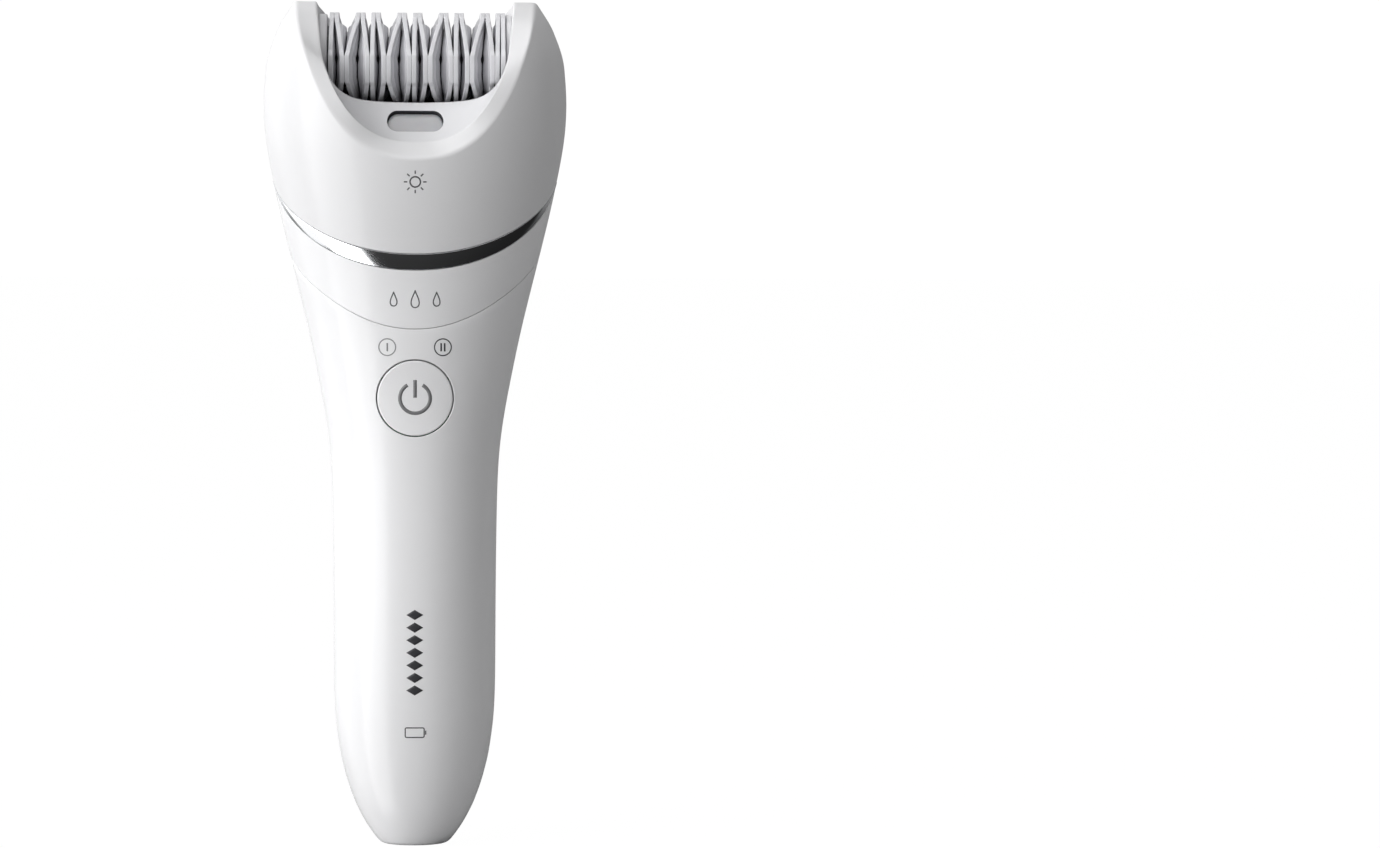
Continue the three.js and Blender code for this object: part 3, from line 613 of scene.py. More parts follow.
def chrome_band(finish):
    """Crescent trim under the head's front edge, a little crowned."""
    shares = np.linspace(0, 1, 220)

    def angle_at(t):
        right = turn_at(BAND["tip_y"], t)
        left = -math.pi - right
        return left + (right - left) * shares

    high = seam_on(angle_at, head_line) - SEAM / 2
    low = seam_on(angle_at, band_foot) + SEAM / 2
    run = []
    for share in np.linspace(0, 1, 9):
        t = low + (high - low) * share
        run.append(skin(angle_at(t), t, -BAND["crown"] * (1 - (2 * share - 1) ** 2) + 0.03))
    for share in (1, 0.5, 0):
        t = low + (high - low) * share
        run.append(skin(angle_at(t), t, BAND["depth"]))
    rows = np.array(soften(run, {0: 0.16, 8: 0.16, 9: 0.1, 11: 0.1})).transpose(1, 0, 2)
    moulding = Moulding("chrome_crescent")
    moulding.capped_net(rows)
    return moulding.cast("head", [finish], ["chrome_band"])


def inner_edge_table(front):
    """The rim's inner edge on one side as y and z by x, for the insert that meets it."""
    angles = np.linspace(-math.pi / 2, -1e-3, 300) if front else np.linspace(math.pi / 2, 1e-3, 300)
    _, _, inner = rim_edges(angles)
    return inner


EDGE_FRONT, EDGE_BACK = inner_edge_table(True), inner_edge_table(False)


def on_edge(table, x):
    return np.interp(np.abs(x), table[:, 0], table[:, 1]), np.interp(np.abs(x), table[:, 0], table[:, 2])


def apron_ends(x):
    """Front end of the apron by the rim, its end at the lip, and the lip's inner corner, as (y, z)."""
    rim_y, rim_z = on_edge(EDGE_FRONT, x)
    start = np.stack([rim_y + 0.2, rim_z - 0.45], axis=-1)
    level = LIP["z"] + LIP["arch"] * (x / LIP["arch_x"]) ** 2 + LIP["climb"] * np.abs(x / LIP["climb_x"]) ** 7
    beside = rim_z - 0.5
    lip_z = 0.5 * (level + beside + np.sqrt((level - beside) ** 2 + 0.5))
    reach = np.maximum(BAY["radius"] ** 2 - (BARREL["z"] - lip_z) ** 2, 1)
    lip_y = BARREL["y"] - np.sqrt(reach)
    end_y = np.maximum(lip_y - BAY["lip"], start[:, 0] + 0.15)
    lip_y = np.maximum(lip_y, end_y + 0.5)
    return start, np.stack([end_y, lip_z - 0.12], axis=-1), np.stack([lip_y, lip_z], axis=-1)


def apron(x, share, depth):
    """A point of the hollowed apron, share 0 at the rim and 1 at the lip, or depth under it."""
    x, share = np.broadcast_arrays(np.atleast_1d(np.asarray(x, float)), np.asarray(share, float))
    start, end, _ = apron_ends(x)
    way = end - start
    length = np.linalg.norm(way, axis=1, keepdims=True)
    under = np.stack([way[:, 1], -way[:, 0]], axis=-1) / np.maximum(length, 1e-6)
    middle = (start + end) / 2 + under * 0.16 * length
    s = share[:, None]
    spot = (1 - s) ** 2 * start + 2 * s * (1 - s) * middle + s**2 * end + under * depth
    return np.column_stack([x, spot])


def barrel_cradle(finish, painted_shade_lining):
    """The insert under the barrel: front apron with the light's opening, lip, bay and back apron."""
    stations = np.linspace(-BAY["half"], BAY["half"], 121)
    _, _, lip = apron_ends(stations)
    back_y, back_z = on_edge(EDGE_BACK, stations)
    steps, bay_steps = 26, 40
    shares = np.linspace(0, 1, steps)
    top = [apron(stations, share, 0) for share in shares]
    under = [apron(stations, share, BAY["wall"]) for share in shares]
    begin = np.arctan2(lip[:, 1] - BARREL["z"], lip[:, 0] - BARREL["y"]) + 2 * math.pi
    end_y = np.minimum(9.8, back_y - 1.6)
    finish_turn = 2 * math.pi + np.arccos(np.clip((end_y - BARREL["y"]) / BAY["radius"], -1, 1))
    radius_lip = np.hypot(lip[:, 1] - BARREL["z"], lip[:, 0] - BARREL["y"])
    for share in np.linspace(0, 1, bay_steps):
        turn = begin + (finish_turn - begin) * share
        radius = radius_lip + (BAY["radius"] - radius_lip) * min(1, share * 4)
        for run, grow in ((top, 0), (under, BAY["wall"])):
            y = BARREL["y"] + (radius + grow) * np.cos(turn)
            z = BARREL["z"] + (radius + grow) * np.sin(turn)
            run.append(np.stack([stations, y, z], axis=-1))
    crest = np.stack([stations, top[-1][:, 1] + BAY["lip"], top[-1][:, 2] - 0.1], axis=-1)
    rim = np.stack([stations, back_y - 0.2, back_z - 0.45], axis=-1)
    for share in np.linspace(0, 1, 9):
        sag = np.array([0, 0, -1.1 * share * (1 - share)])
        top.append(crest * (1 - share) + rim * share + sag)
        under.append(crest * (1 - share) + rim * share + sag + np.array([0, 0.2, -BAY["wall"]]))
    count = len(top)
    run = top + under[::-1]
    bay_end = steps + bay_steps
    corners = {0: 0.3, steps - 1: 0.5, steps: 0.5, bay_end - 1: 0.5, bay_end: 0.5, count - 1: 0.3,
               count: 0.3, 2 * count - 1: 0.3}
    rows = np.array(soften(run, corners)).transpose(1, 0, 2)
    width = rows.shape[1]
    # Past the softened front corner, the apron's columns climb steadily towards the lip.
    first = 7
    climb = rows[len(rows) // 2, first:first + 24, 2]
    reach_x, reach_z = WINDOW["half_width"] + 1.2, WINDOW["half_height"] + 0.9
    c0, c1 = first + np.searchsorted(climb, [WINDOW["z"] - reach_z, WINDOW["z"] + reach_z])
    r0, r1 = np.searchsorted(stations, [-reach_x, reach_x])
    # The bay's inner columns take the second, dark finish as painted shade under the barrel.
    painted_shade_columns = (steps + 12, steps + 60)
    moulding = Moulding("cradle_insert")
    grid = moulding.net(
        rows, holes=[(r0, r1, c0, c1), (r0, r1, width - 1 - c1, width - 1 - c0)],
        tint_of=lambda r, c: 1 if painted_shade_columns[0] <= c < painted_shade_columns[1] else 0,
    )
    moulding.zip_ends(grid[0])
    moulding.zip_ends(grid[-1])
    grown = polar_stadium(WINDOW["half_width"] + 0.1, WINDOW["half_height"] + 0.1)
    # The window's wall takes the dark finish as painted shade inside the opening.
    moulding.pierce(
        grid, grid[:, ::-1], (r0, r1, c0, c1), WINDOW["z"], grown, apron_at, BAY["wall"], 0.18, 1)
    return moulding.cast("head", [finish, painted_shade_lining], ["barrel_cradle"])


def apron_at(x, z, depth):
    """The apron's point at a height instead of a share."""
    share = bisect(np.zeros(len(x)), np.ones(len(x)), lambda s: apron(x, s, 0)[:, 2] - z)
    return apron(x, share, depth)


def light_window(finish):
    """Translucent lens, sunk in its opening, with a soft crown."""
    moulding = Moulding("light_lens")
    outline = polar_stadium(WINDOW["half_width"] - 0.02, WINDOW["half_height"] - 0.02)(full_turn(96))

    def lens_ring(share, depth):
        return apron_at(outline[:, 0] * share, outline[:, 1] * share + WINDOW["z"], WINDOW["sink"] + depth)

    shares = (0.03, 0.2, 0.4, 0.6, 0.75, 0.88, 0.96, 1)
    loops = [lens_ring(share, -WINDOW["crown"] * (1 - share**4)) for share in shares]
    loops += [lens_ring(share, WINDOW["thickness"]) for share in (1, 0.03)]
    moulding.capped_net(soften(loops, {7: 0.12, 8: 0.12}))
    return moulding.cast("head", [finish], ["light_window"])


def cheek_plate(side, finish):
    """Rounded plate that closes the bay at one end of the barrel."""
    place = "right" if side > 0 else "left"
    moulding = Moulding(f"cheek_plate_{place}")
    turns = full_turn(96)
    loops = []
    far, near, bore = CHEEK["x"], CHEEK[f"near_{place}"], CHEEK["bore"]
    for x, share in ((far, bore), (far, 1), (near, 1), (near, bore)):
        y = BARREL["y"] + 0.4 + CHEEK["half_depth"] * share * np.cos(turns)
        z = BARREL["z"] + CHEEK["half_height"] * share * np.sin(turns)
        loops.append(np.stack([np.full(len(turns), side * x), y, z], axis=-1))
    moulding.net(soften(loops, {0: 0.2, 1: 0.45, 2: 0.45, 3: 0.2}), wrap_rows=True)
    return moulding.cast("head", [finish])


# ---------------------------------------------------------------- tweezer barrel


def pair_place(row, j):
    return row["middle"] + DISC["pitch"] * (j - 4) + (row["odd_shift"] if j % 2 else 0)


def disc_places(index):
    """A disc's x at the rows above and below, and at the rows in front and behind."""
    half = (DISC["thickness"] + DISC["gap"]) / 2
    side = -half if index % 2 == 0 else half
    top = pair_place(TOP_ROW, index // 2) + side
    front = pair_place(FRONT_ROW, (index + 1) // 2) - side
    reach = BARREL["half"] - DISC["thickness"] / 2 - DISC["gap"]
    return top, max(-reach, min(reach, front))


# Angles round the barrel, in degrees: half a pad, the slit in front, and the span left open beside it.
PAD_HALF = 15
SLIT = {"turn": 176, "spread": 7, "least": 0.1, "more": 0.2}
OPEN_SPAN = {"turn": 190, "begins": (8, 20), "ends": (74, 84)}


def disc_line(index, turn):
    """A disc's x at each angle round the barrel: straight on the pads, slanting between them."""
    top, front = disc_places(index)
    from_row = np.mod(turn - DISC["first_row"], 180)
    share = np.clip((np.minimum(from_row, 180 - from_row) - PAD_HALF) / (90 - 2 * PAD_HALF), 0, 1)
    eased = share + 0.12 * (smooth_step(0, 1, share) - share)
    return top + (front - top) * eased


def row_share(turn, width):
    """1 on the pads, 0 well away from them."""
    from_row = np.mod(turn - DISC["first_row"] + 45, 90) - 45
    return 1 - smooth_step(PAD_HALF, PAD_HALF + width, np.abs(from_row))


def shoulder_reach(index, turn, side):
    """How far a disc's shoulder goes towards its neighbour."""
    flat = DISC["thickness"] / 2
    neighbour = index + side
    here = disc_line(index, turn)
    if not 0 <= neighbour < DISC["count"]:
        end = BARREL["left_end"] if side < 0 else BARREL["right_end"]
        return np.clip(side * (end - here), flat + 0.04, 1.6)
    middle = np.abs(disc_line(neighbour, turn) - here) / 2
    from_slit = np.abs(np.mod(turn - SLIT["turn"] + 90, 180) - 90)
    slit = SLIT["least"] + SLIT["more"] * np.exp(-((from_slit / SLIT["spread"]) ** 2))
    meets_in_front = min(index, neighbour) % 2 == 1
    reach = np.maximum(middle - slit, flat + 0.02)
    if meets_in_front:
        past = np.mod(turn - OPEN_SPAN["turn"], 180)
        open_part = smooth_step(*OPEN_SPAN["begins"], past) * (1 - smooth_step(*OPEN_SPAN["ends"], past))
        reach = reach + (flat + 0.02 - reach) * open_part
    return reach


def tweezer_disc(index, finishes):
    """One rocking disc: thin pads that pinch in pairs, legs between them and low shoulders."""
    turn = np.linspace(0, 360, 216, endpoint=False)
    flat = DISC["thickness"] / 2
    centre = disc_line(index, turn)
    tip = BARREL["leg"] + (BARREL["pad"] - BARREL["leg"]) * row_share(turn, 9)
    left, right = shoulder_reach(index, turn, -1), shoulder_reach(index, turn, 1)
    deep = BARREL["shoulder"] - 0.6
    plate = flat + 0.035 * row_share(turn, 9)
    foot = BARREL["shoulder"] + 0.35
    path = [
        (-left, BARREL["core"]), (-left, deep), (-(left + flat) / 2, BARREL["shoulder"]),
        (-plate, foot), (-plate, tip), (plate, tip), (plate, foot),
        ((right + flat) / 2, BARREL["shoulder"]), (right, deep), (right, BARREL["core"]),
    ]
    angle = np.radians(turn)
    run = []
    for offset, radius in path:
        y = BARREL["y"] + radius * np.cos(angle)
        z = BARREL["z"] + radius * np.sin(angle)
        run.append(np.stack([centre + offset, y, z], axis=-1))
    corners = {1: 0.45, 2: 0.3, 3: 0.35, 4: 0.14, 5: 0.14, 6: 0.35, 7: 0.3, 8: 0.45}
    moulding = Moulding(f"disc_{index + 1:02d}")
    rows = soften(run, corners, 3)
    low = BARREL["shoulder"] + 0.12
    reach = [np.hypot(row[:, 1] - BARREL["y"], row[:, 2] - BARREL["z"]).mean() for row in rows]
    # Rows nearer the axis than the shoulders take the second, darker finish: painted shade between the discs.
    moulding.net(rows, wrap_rows=True, tint_of=lambda r, c: 1 if reach[r] < low else 0)
    return moulding.cast("barrel", finishes, [f"tweezer_disc_{index + 1:02d}"])


# ---------------------------------------------------------------- printed marks

PROUD = 0.02
SUNK = 0.06


def stroke(moulding, points, width, lift, closed=False):
    """A printed line of even width along (x, z) points, as a thin closed strip on a surface."""
    points = np.asarray(points, float)
    if closed:
        way = np.roll(points, -1, axis=0) - np.roll(points, 1, axis=0)
    else:
        way = np.gradient(points, axis=0)
    way /= np.linalg.norm(way, axis=1, keepdims=True)
    beside = np.stack([-way[:, 1], way[:, 0]], axis=-1) * width / 2
    run = []
    for side, depth in ((1, -PROUD), (0, -PROUD), (-1, -PROUD), (-1, SUNK), (0, SUNK), (1, SUNK)):
        at = points + side * beside
        run.append(lift(at[:, 0], at[:, 1], depth))
    rows = np.array(run).transpose(1, 0, 2)
    if closed:
        moulding.net(rows, wrap_rows=True)
    else:
        moulding.capped_net(rows)


def patch(moulding, outline, lift):
    """A filled printed shape with the given (x, z) outline."""
    outline = np.asarray(outline, float)
    middle = outline.mean(axis=0)
    loops = []
    for share, depth in ((0.04, -PROUD), (0.5, -PROUD), (1, -PROUD), (1, SUNK), (0.04, SUNK)):
        at = middle + (outline - middle) * share
        loops.append(lift(at[:, 0], at[:, 1], depth))
    moulding.capped_net(loops)


def arc(centre, radius, begin, end, count):
    turns = np.radians(np.linspace(begin, end, count))
    return np.stack([centre[0] + radius * np.cos(turns), centre[1] + radius * np.sin(turns)], axis=-1)


def circle(centre, radius):
    return arc(centre, radius, 0, 355, 72)


def line(one, other, count=8):
    share = np.linspace(0, 1, count)[:, None]
    return np.array(one) * (1 - share) + np.array(other) * share


def power_symbol(finish):
    moulding = Moulding("power_symbol")
    middle = (0, BUTTON["z"])
    stroke(moulding, arc(middle, 3.1, 90 + 30, 450 - 30, 72), 0.74, on_button)
    stroke(moulding, line((0, BUTTON["z"] + 0.1), (0, BUTTON["z"] + 3.75)), 0.74, on_button)
    return moulding.cast("power_button", [finish])


def speed_marks(pale, dark):
    """Speed one and speed two: one bar and two bars in rings."""
    for name, side, bars, finish in (("one", -1, (0,), pale), ("two", 1, (-0.36, 0.36), dark)):
        moulding = Moulding(f"speed_{name}_mark")
        x, z = side * MARKS["speed_x"], MARKS["speed"]
        stroke(moulding, circle((x, z), 1.72), 0.24, front_skin, closed=True)
        for bar in bars:
            stroke(moulding, line((x + bar, z - 0.85), (x + bar, z + 0.85)), 0.34, front_skin)
        moulding.cast("handle", [finish])


def sun_mark(finish):
    """Work light mark: a ring with eight rays."""
    moulding = Moulding("work_light_mark")
    middle = np.array([0, MARKS["sun"]])
    stroke(moulding, circle(middle, 1.05), 0.3, front_skin, closed=True)
    for turn in np.arange(8) * math.pi / 4:
        way = np.array([math.cos(turn), math.sin(turn)])
        stroke(moulding, line(middle + 1.62 * way, middle + 2.3 * way), 0.27, front_skin)
    return moulding.cast("head", [finish])


def drop_marks(finish):
    """Three water drops, for use in the shower or dry."""
    moulding = Moulding("water_drop_marks")
    turns = full_turn(60)
    across, up = 0.86 * np.sin(turns) * np.sin(turns / 2) ** 1.6, 1.25 * np.cos(turns)
    for x, size in ((-4.4, 1.15), (0, 1.4), (4.4, 1.15)):
        outline = np.stack([x + size * across, MARKS["drops"] + size * up], axis=-1)
        stroke(moulding, outline, 0.24, front_skin, closed=True)
    return moulding.cast("handle", [finish])


def lozenge_column(finish):
    """Plain column of lozenges down the grip."""
    moulding = Moulding("lozenge_column")
    for z in np.linspace(*MARKS["lozenges"], 7):
        corners = np.array([(1.75, z), (0, z + 1.05), (-1.75, z), (0, z - 1.05)])
        sides = [line(corners[i], corners[(i + 1) % 4], 9)[:-1] for i in range(4)]
        patch(moulding, np.concatenate(sides), front_skin)
    return moulding.cast("handle", [finish])


def rounded_rectangle(half_width, half_height, radius, z, spacing=0.3):
    parts = []
    for across, up, begin in ((1, 1, 0), (-1, 1, 90), (-1, -1, 180), (1, -1, 270)):
        corner = (across * (half_width - radius), z + up * (half_height - radius))
        parts.append(arc(corner, radius, begin, begin + 90, 7))
    spaced = []
    points = np.concatenate(parts)
    for here, following in zip(points, np.roll(points, -1, axis=0)):
        steps = max(1, round(np.linalg.norm(following - here) / spacing))
        spaced += [here + (following - here) * k / steps for k in range(steps)]
    return np.array(spaced)


def battery_mark(finish):
    """Outline of a cell lying on its side, with its tip to the right."""
    moulding = Moulding("battery_mark")
    half_width, half_height, z = 1.95, 1.0, MARKS["battery"]
    tip = half_width + 0.32
    stroke(moulding, rounded_rectangle(half_width, half_height, 0.3, z), 0.24, front_skin, closed=True)
    stroke(moulding, line((tip, z - 0.42), (tip, z + 0.42), 6), 0.26, front_skin)
    return moulding.cast("handle", [finish])


# ---------------------------------------------------------------- shared surface effects


def new_group(name, inputs, outputs):
    group = bpy.data.node_groups.new(name, "ShaderNodeTree")
    for label, kind, value in inputs:
        socket = group.interface.new_socket(name=label, in_out="INPUT", socket_type=kind)
        socket.default_value = value
    for label, kind in outputs:
        group.interface.new_socket(name=label, in_out="OUTPUT", socket_type=kind)
    return group, group.nodes.new("NodeGroupInput"), group.nodes.new("NodeGroupOutput")


def title(label):
    """A socket's label from a plain argument name."""
    return label.replace("_", " ").title().replace("Ior", "IOR")


def node(tree, kind, **settings):
    """A node with its settings, by attribute or by input."""
    made = tree.nodes.new(kind)
    for label, value in settings.items():
        if hasattr(made, label):
            setattr(made, label, value)
        else:
            made.inputs[title(label)].default_value = value
    return made


def maths(tree, operation, one, other):
    """A maths node whose inputs are sockets or numbers."""
    made = tree.nodes.new("ShaderNodeMath")
    made.operation = operation
    for place, value in enumerate((one, other)):
        if isinstance(value, (int, float)):
            made.inputs[place].default_value = value
        else:
            tree.links.new(value, made.inputs[place])
    return made.outputs[0]


def blend_colours(tree, factor, one, other):
    made = tree.nodes.new("ShaderNodeMix")
    made.data_type = "RGBA"
    tree.links.new(factor, made.inputs[0])
    tree.links.new(one, made.inputs[6])
    tree.links.new(other, made.inputs[7])
    return made.outputs[2]


def spread_roughness(group, noise, given, out):
    """Roughness that swings evenly about its given value with a noise."""
    swing = maths(group, "SUBTRACT", noise, 0.5)
    spread = maths(group, "MULTIPLY", swing, given.outputs["Roughness Spread"])
    group.links.new(maths(group, "ADD", given.outputs["Roughness"], spread), out.inputs["Roughness"])


def moulded_skin_group():
    """Faint unevenness of moulded plastic: a drifting tone, a roughness and a shallow height."""
    group, given, out = new_group(
        "moulded_skin",
        [("Tone", "NodeSocketColor", (0.8, 0.8, 0.8, 1)),
         ("Deep Tone", "NodeSocketColor", (0.7, 0.7, 0.7, 1)),
         ("Drift Scale", "NodeSocketFloat", 40), ("Grain Scale", "NodeSocketFloat", 900),
         ("Roughness", "NodeSocketFloat", 0.3), ("Roughness Spread", "NodeSocketFloat", 0.05)],
        [("Color", "NodeSocketColor"), ("Roughness", "NodeSocketFloat"), ("Height", "NodeSocketFloat")],
    )
    place = group.nodes.new("ShaderNodeTexCoord").outputs["Object"]
    drift = node(group, "ShaderNodeTexNoise", detail=3, roughness=0.5)
    grain = node(group, "ShaderNodeTexNoise", detail=2, roughness=0.6)
    for noise, scale in ((drift, "Drift Scale"), (grain, "Grain Scale")):
        group.links.new(place, noise.inputs["Vector"])
        group.links.new(given.outputs[scale], noise.inputs["Scale"])
    tone = blend_colours(group, drift.outputs[0], given.outputs["Tone"], given.outputs["Deep Tone"])
    group.links.new(tone, out.inputs["Color"])
    spread_roughness(group, grain.outputs[0], given, out)
    shares = [maths(group, "MULTIPLY", noise.outputs[0], 0.5) for noise in (grain, drift)]
    group.links.new(maths(group, "ADD", *shares), out.inputs["Height"])
    return group


def drawn_lines_group():
    """Fine parallel lines left by drawing or turning, along one axis."""
    group, given, out = new_group(
        "drawn_lines",
        [("Stretch", "NodeSocketVector", (1, 1, 40)), ("Scale", "NodeSocketFloat", 300),
         ("Roughness", "NodeSocketFloat", 0.3), ("Roughness Spread", "NodeSocketFloat", 0.2)],
        [("Roughness", "NodeSocketFloat"), ("Height", "NodeSocketFloat")],
    )
    place = group.nodes.new("ShaderNodeTexCoord").outputs["Object"]
    stretch = node(group, "ShaderNodeVectorMath", operation="MULTIPLY")
    group.links.new(place, stretch.inputs[0])
    group.links.new(given.outputs["Stretch"], stretch.inputs[1])
    noise = node(group, "ShaderNodeTexNoise", detail=4, roughness=0.65)
    group.links.new(stretch.outputs[0], noise.inputs["Vector"])
    group.links.new(given.outputs["Scale"], noise.inputs["Scale"])
    spread_roughness(group, noise.outputs[0], given, out)
    group.links.new(noise.outputs[0], out.inputs["Height"])
    return group


SKIN_GROUP = moulded_skin_group()
LINES_GROUP = drawn_lines_group()


FINISHES = {}


def base_finish(name):
    """Starts a finish, keeps it by its plain name, and gives its node tree and its shader."""
    finish = bpy.data.materials.new(name)
    finish.use_nodes = True
    FINISHES[name] = finish
    tree = finish.node_tree
    return tree, next(n for n in tree.nodes if n.type == "BSDF_PRINCIPLED")


def place_effect(tree, group, **values):
    """Puts a shared effect in a material, with the material's own values."""
    effect = tree.nodes.new("ShaderNodeGroup")
    effect.node_tree = group
    for label, value in values.items():
        effect.inputs[title(label)].default_value = value
    return effect.outputs


def add_bump(tree, shader, height, strength, distance=0.00002):
    bump = node(tree, "ShaderNodeBump", strength=strength, distance=distance)
    tree.links.new(height, bump.inputs["Height"])
    tree.links.new(bump.outputs[0], shader.inputs["Normal"])


def moulded(name, tone, deep_tone, roughness, spread, drift, grain, bump, relief=0.00002, **sockets):
    """A moulded plastic or rubber finish: tone drift, roughness and grain from the shared group."""
    tree, shader = base_finish(name)
    effect = place_effect(
        tree, SKIN_GROUP, tone=(*tone, 1), deep_tone=(*deep_tone, 1), drift_scale=drift, grain_scale=grain,
        roughness=roughness, roughness_spread=spread)
    tree.links.new(effect["Color"], shader.inputs["Base Color"])
    tree.links.new(effect["Roughness"], shader.inputs["Roughness"])
    add_bump(tree, shader, effect["Height"], bump, relief)
    for label, value in sockets.items():
        shader.inputs[title(label)].default_value = value


def drawn_metal(name, tone, roughness, stretch, scale=300, spread=0.2, bump=0.15):
    """A bare metal finish with fine drawn or turned lines."""
    tree, shader = base_finish(name)
    effect = place_effect(
        tree, LINES_GROUP, stretch=stretch, scale=scale, roughness=roughness, roughness_spread=spread)
    tree.links.new(effect["Roughness"], shader.inputs["Roughness"])
    shader.inputs["Base Color"].default_value = (*tone, 1)
    shader.inputs["Metallic"].default_value = 1
    add_bump(tree, shader, effect["Height"], bump)


def circuit_green():
    """Solder mask with copper tracks showing through as lighter lines."""
    tree, shader = base_finish("solder_mask")
    place = tree.nodes.new("ShaderNodeTexCoord").outputs["Object"]
    tracks = node(
        tree, "ShaderNodeTexBrick", scale=320, mortar_size=0.05, color1=(0.03, 0.2, 0.09, 1),
        color2=(0.04, 0.25, 0.12, 1), mortar=(0.1, 0.42, 0.2, 1))
    swing = node(tree, "ShaderNodeMapping", rotation=(math.pi / 2, 0, 0))
    tree.links.new(place, swing.inputs["Vector"])
    tree.links.new(swing.outputs[0], tracks.inputs["Vector"])
    tree.links.new(tracks.outputs["Color"], shader.inputs["Base Color"])
    shader.inputs["Roughness"].default_value = 0.35
    add_bump(tree, shader, tracks.outputs["Fac"], 0.3, 0.00003)


# Roughness spread, drift scale, grain scale and bump of the printed marks.
PRINT_GRAIN = (0.1, 300, 3000, 0.1)


def make_finishes():
    moulded(
        "gloss_white", (0.83, 0.83, 0.84), (0.823, 0.823, 0.835), 0.26, 0.008, 30, 260, 0.01,
        coat_weight=0.12, coat_roughness=0.12, specular_ior_level=0.36)
    moulded(
        "head_white", (0.74, 0.74, 0.75), (0.735, 0.735, 0.746), 0.28, 0.008, 30, 260, 0.01,
        coat_weight=0.12, coat_roughness=0.14, specular_ior_level=0.36)
    moulded("satin_white", (0.74, 0.74, 0.755), (0.715, 0.715, 0.73), 0.38, 0.08, 60, 2200, 0.12)
    moulded("disc_white", (0.72, 0.72, 0.745), (0.69, 0.69, 0.715), 0.42, 0.08, 120, 2600, 0.15)
    # A darker copy of disc_white: painted shade for the discs' shoulders.
    moulded("disc_painted_shade", (0.52, 0.52, 0.545), (0.48, 0.48, 0.505), 0.4, 0.08, 120, 2600, 0.15)
    moulded(
        "lens_grey", (0.4, 0.4, 0.415), (0.33, 0.33, 0.345), 0.14, 0.05, 260, 1600, 0.05,
        coat_weight=0.6, coat_roughness=0.03, subsurface_weight=0.15, subsurface_scale=0.002)
    moulded(
        "dark_plastic", (0.035, 0.035, 0.04), (0.025, 0.025, 0.03), 0.5, 0.1, 120, 2400, 0.3, 0.00003)
    moulded("natural_nylon", (0.75, 0.7, 0.6), (0.7, 0.65, 0.54), 0.5, 0.1, 90, 1800, 0.2, 0.00003)
    moulded("soft_rubber", (0.26, 0.265, 0.27), (0.22, 0.225, 0.23), 0.8, 0.1, 90, 3000, 0.4, 0.00004)
    moulded(
        "cell_wrap", (0.02, 0.12, 0.42), (0.015, 0.1, 0.36), 0.28, 0.1, 60, 700, 0.2, 0.00004,
        coat_weight=0.4)
    moulded("led_resin", (0.85, 0.76, 0.42), (0.8, 0.68, 0.3), 0.2, 0.05, 500, 2600, 0.05)
    moulded("print_grey", (0.09, 0.09, 0.095), (0.075, 0.075, 0.08), 0.45, *PRINT_GRAIN)
    moulded("print_mid", (0.19, 0.19, 0.195), (0.17, 0.17, 0.175), 0.45, *PRINT_GRAIN)
    moulded("print_dark", (0.045, 0.045, 0.05), (0.035, 0.035, 0.04), 0.42, *PRINT_GRAIN)
    moulded("print_pale", (0.27, 0.27, 0.275), (0.24, 0.24, 0.245), 0.45, *PRINT_GRAIN)
    drawn_metal("drawn_steel", (0.5, 0.51, 0.53), 0.32, (1, 1, 30))
    drawn_metal("turned_brass", (0.62, 0.42, 0.16), 0.3, (1, 1, 30))
    drawn_metal("plated_chrome", (0.8, 0.81, 0.83), 0.15, (1, 1, 6), 220, 0.08, 0.03)
    circuit_green()


INNER_FINISHES = {
    "satin_white": ["neck_bulkhead", "chassis", "head_base", "gear_bracket"],
    # The barrel drum takes the dark finish as painted shade in the gaps between the discs.
    "dark_plastic": ["power_switch", "release_latch", "barrel_drum"],
    "soft_rubber": ["shaft_seal", "button_seal", "motor_mount"],
    "turned_brass": ["charge_pin_left", "charge_pin_right", "motor_pinion"],
    "solder_mask": ["main_board", "light_board"],
    "drawn_steel": ["board_screw_upper", "board_screw_lower", "motor", "motor_shaft", "release_spring",
                    "bearing_plate_right", "bearing_plate_left", "barrel_axle", "crown_shaft"],
    "cell_wrap": ["battery_cell"],
    "lens_grey": ["speed_light_low", "speed_light_high", "battery_light"],
    "led_resin": ["head_light_led"],
    "natural_nylon": ["barrel_gear", "idler_gear", "crown_gear"],
}


def finish_inner_nodes():
    """Gives the nodes of the mechanism their finishes. Their shapes stay as they are."""
    for finish, names in INNER_FINISHES.items():
        for name in names:
            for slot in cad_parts[name].material_slots:
                slot.material = FINISHES[finish]


# ---------------------------------------------------------------- stage, lights and camera

# Metres and degrees. The aim is a point on the plane through the handle's axis.
CAMERA = {"distance": 1.0, "elevation": 2.5, "aim_x": 0.0573, "roll": 0.2, "aim_z": 0.0876,
          "frame_width": 0.2875}
SENSOR = 36
FLOOR_SIDES = 96

# Brightness of the surroundings from -1 to 1 along each axis of the view direction, as (share, level).
WORLD_BY_HEIGHT = [(0, 0.03), (0.5, 0.04), (0.6, 0.06), (0.72, 0.3), (1, 0.4)]
WORLD_BY_SIDE = [(0, 1.3), (0.5, 1), (1, 0.36)]
WORLD_BEHIND = {
    "X": [(0, 1), (0.3, 0.9), (0.55, 0.25), (1, 0.22)],
    "Y": [(0, 0), (0.66, 0), (0.74, 1), (1, 1)],
    "Z": [(0, 0.2), (0.36, 0.25), (0.46, 1), (1, 1)],
}
WORLD_STRIP = [(0, 1.2), (0.075, 1.2), (0.085, 0), (1, 0)]


def aim(thing, target):
    way = Vector(target) - thing.location
    thing.rotation_euler = way.to_track_quat("-Z", "Y").to_euler()


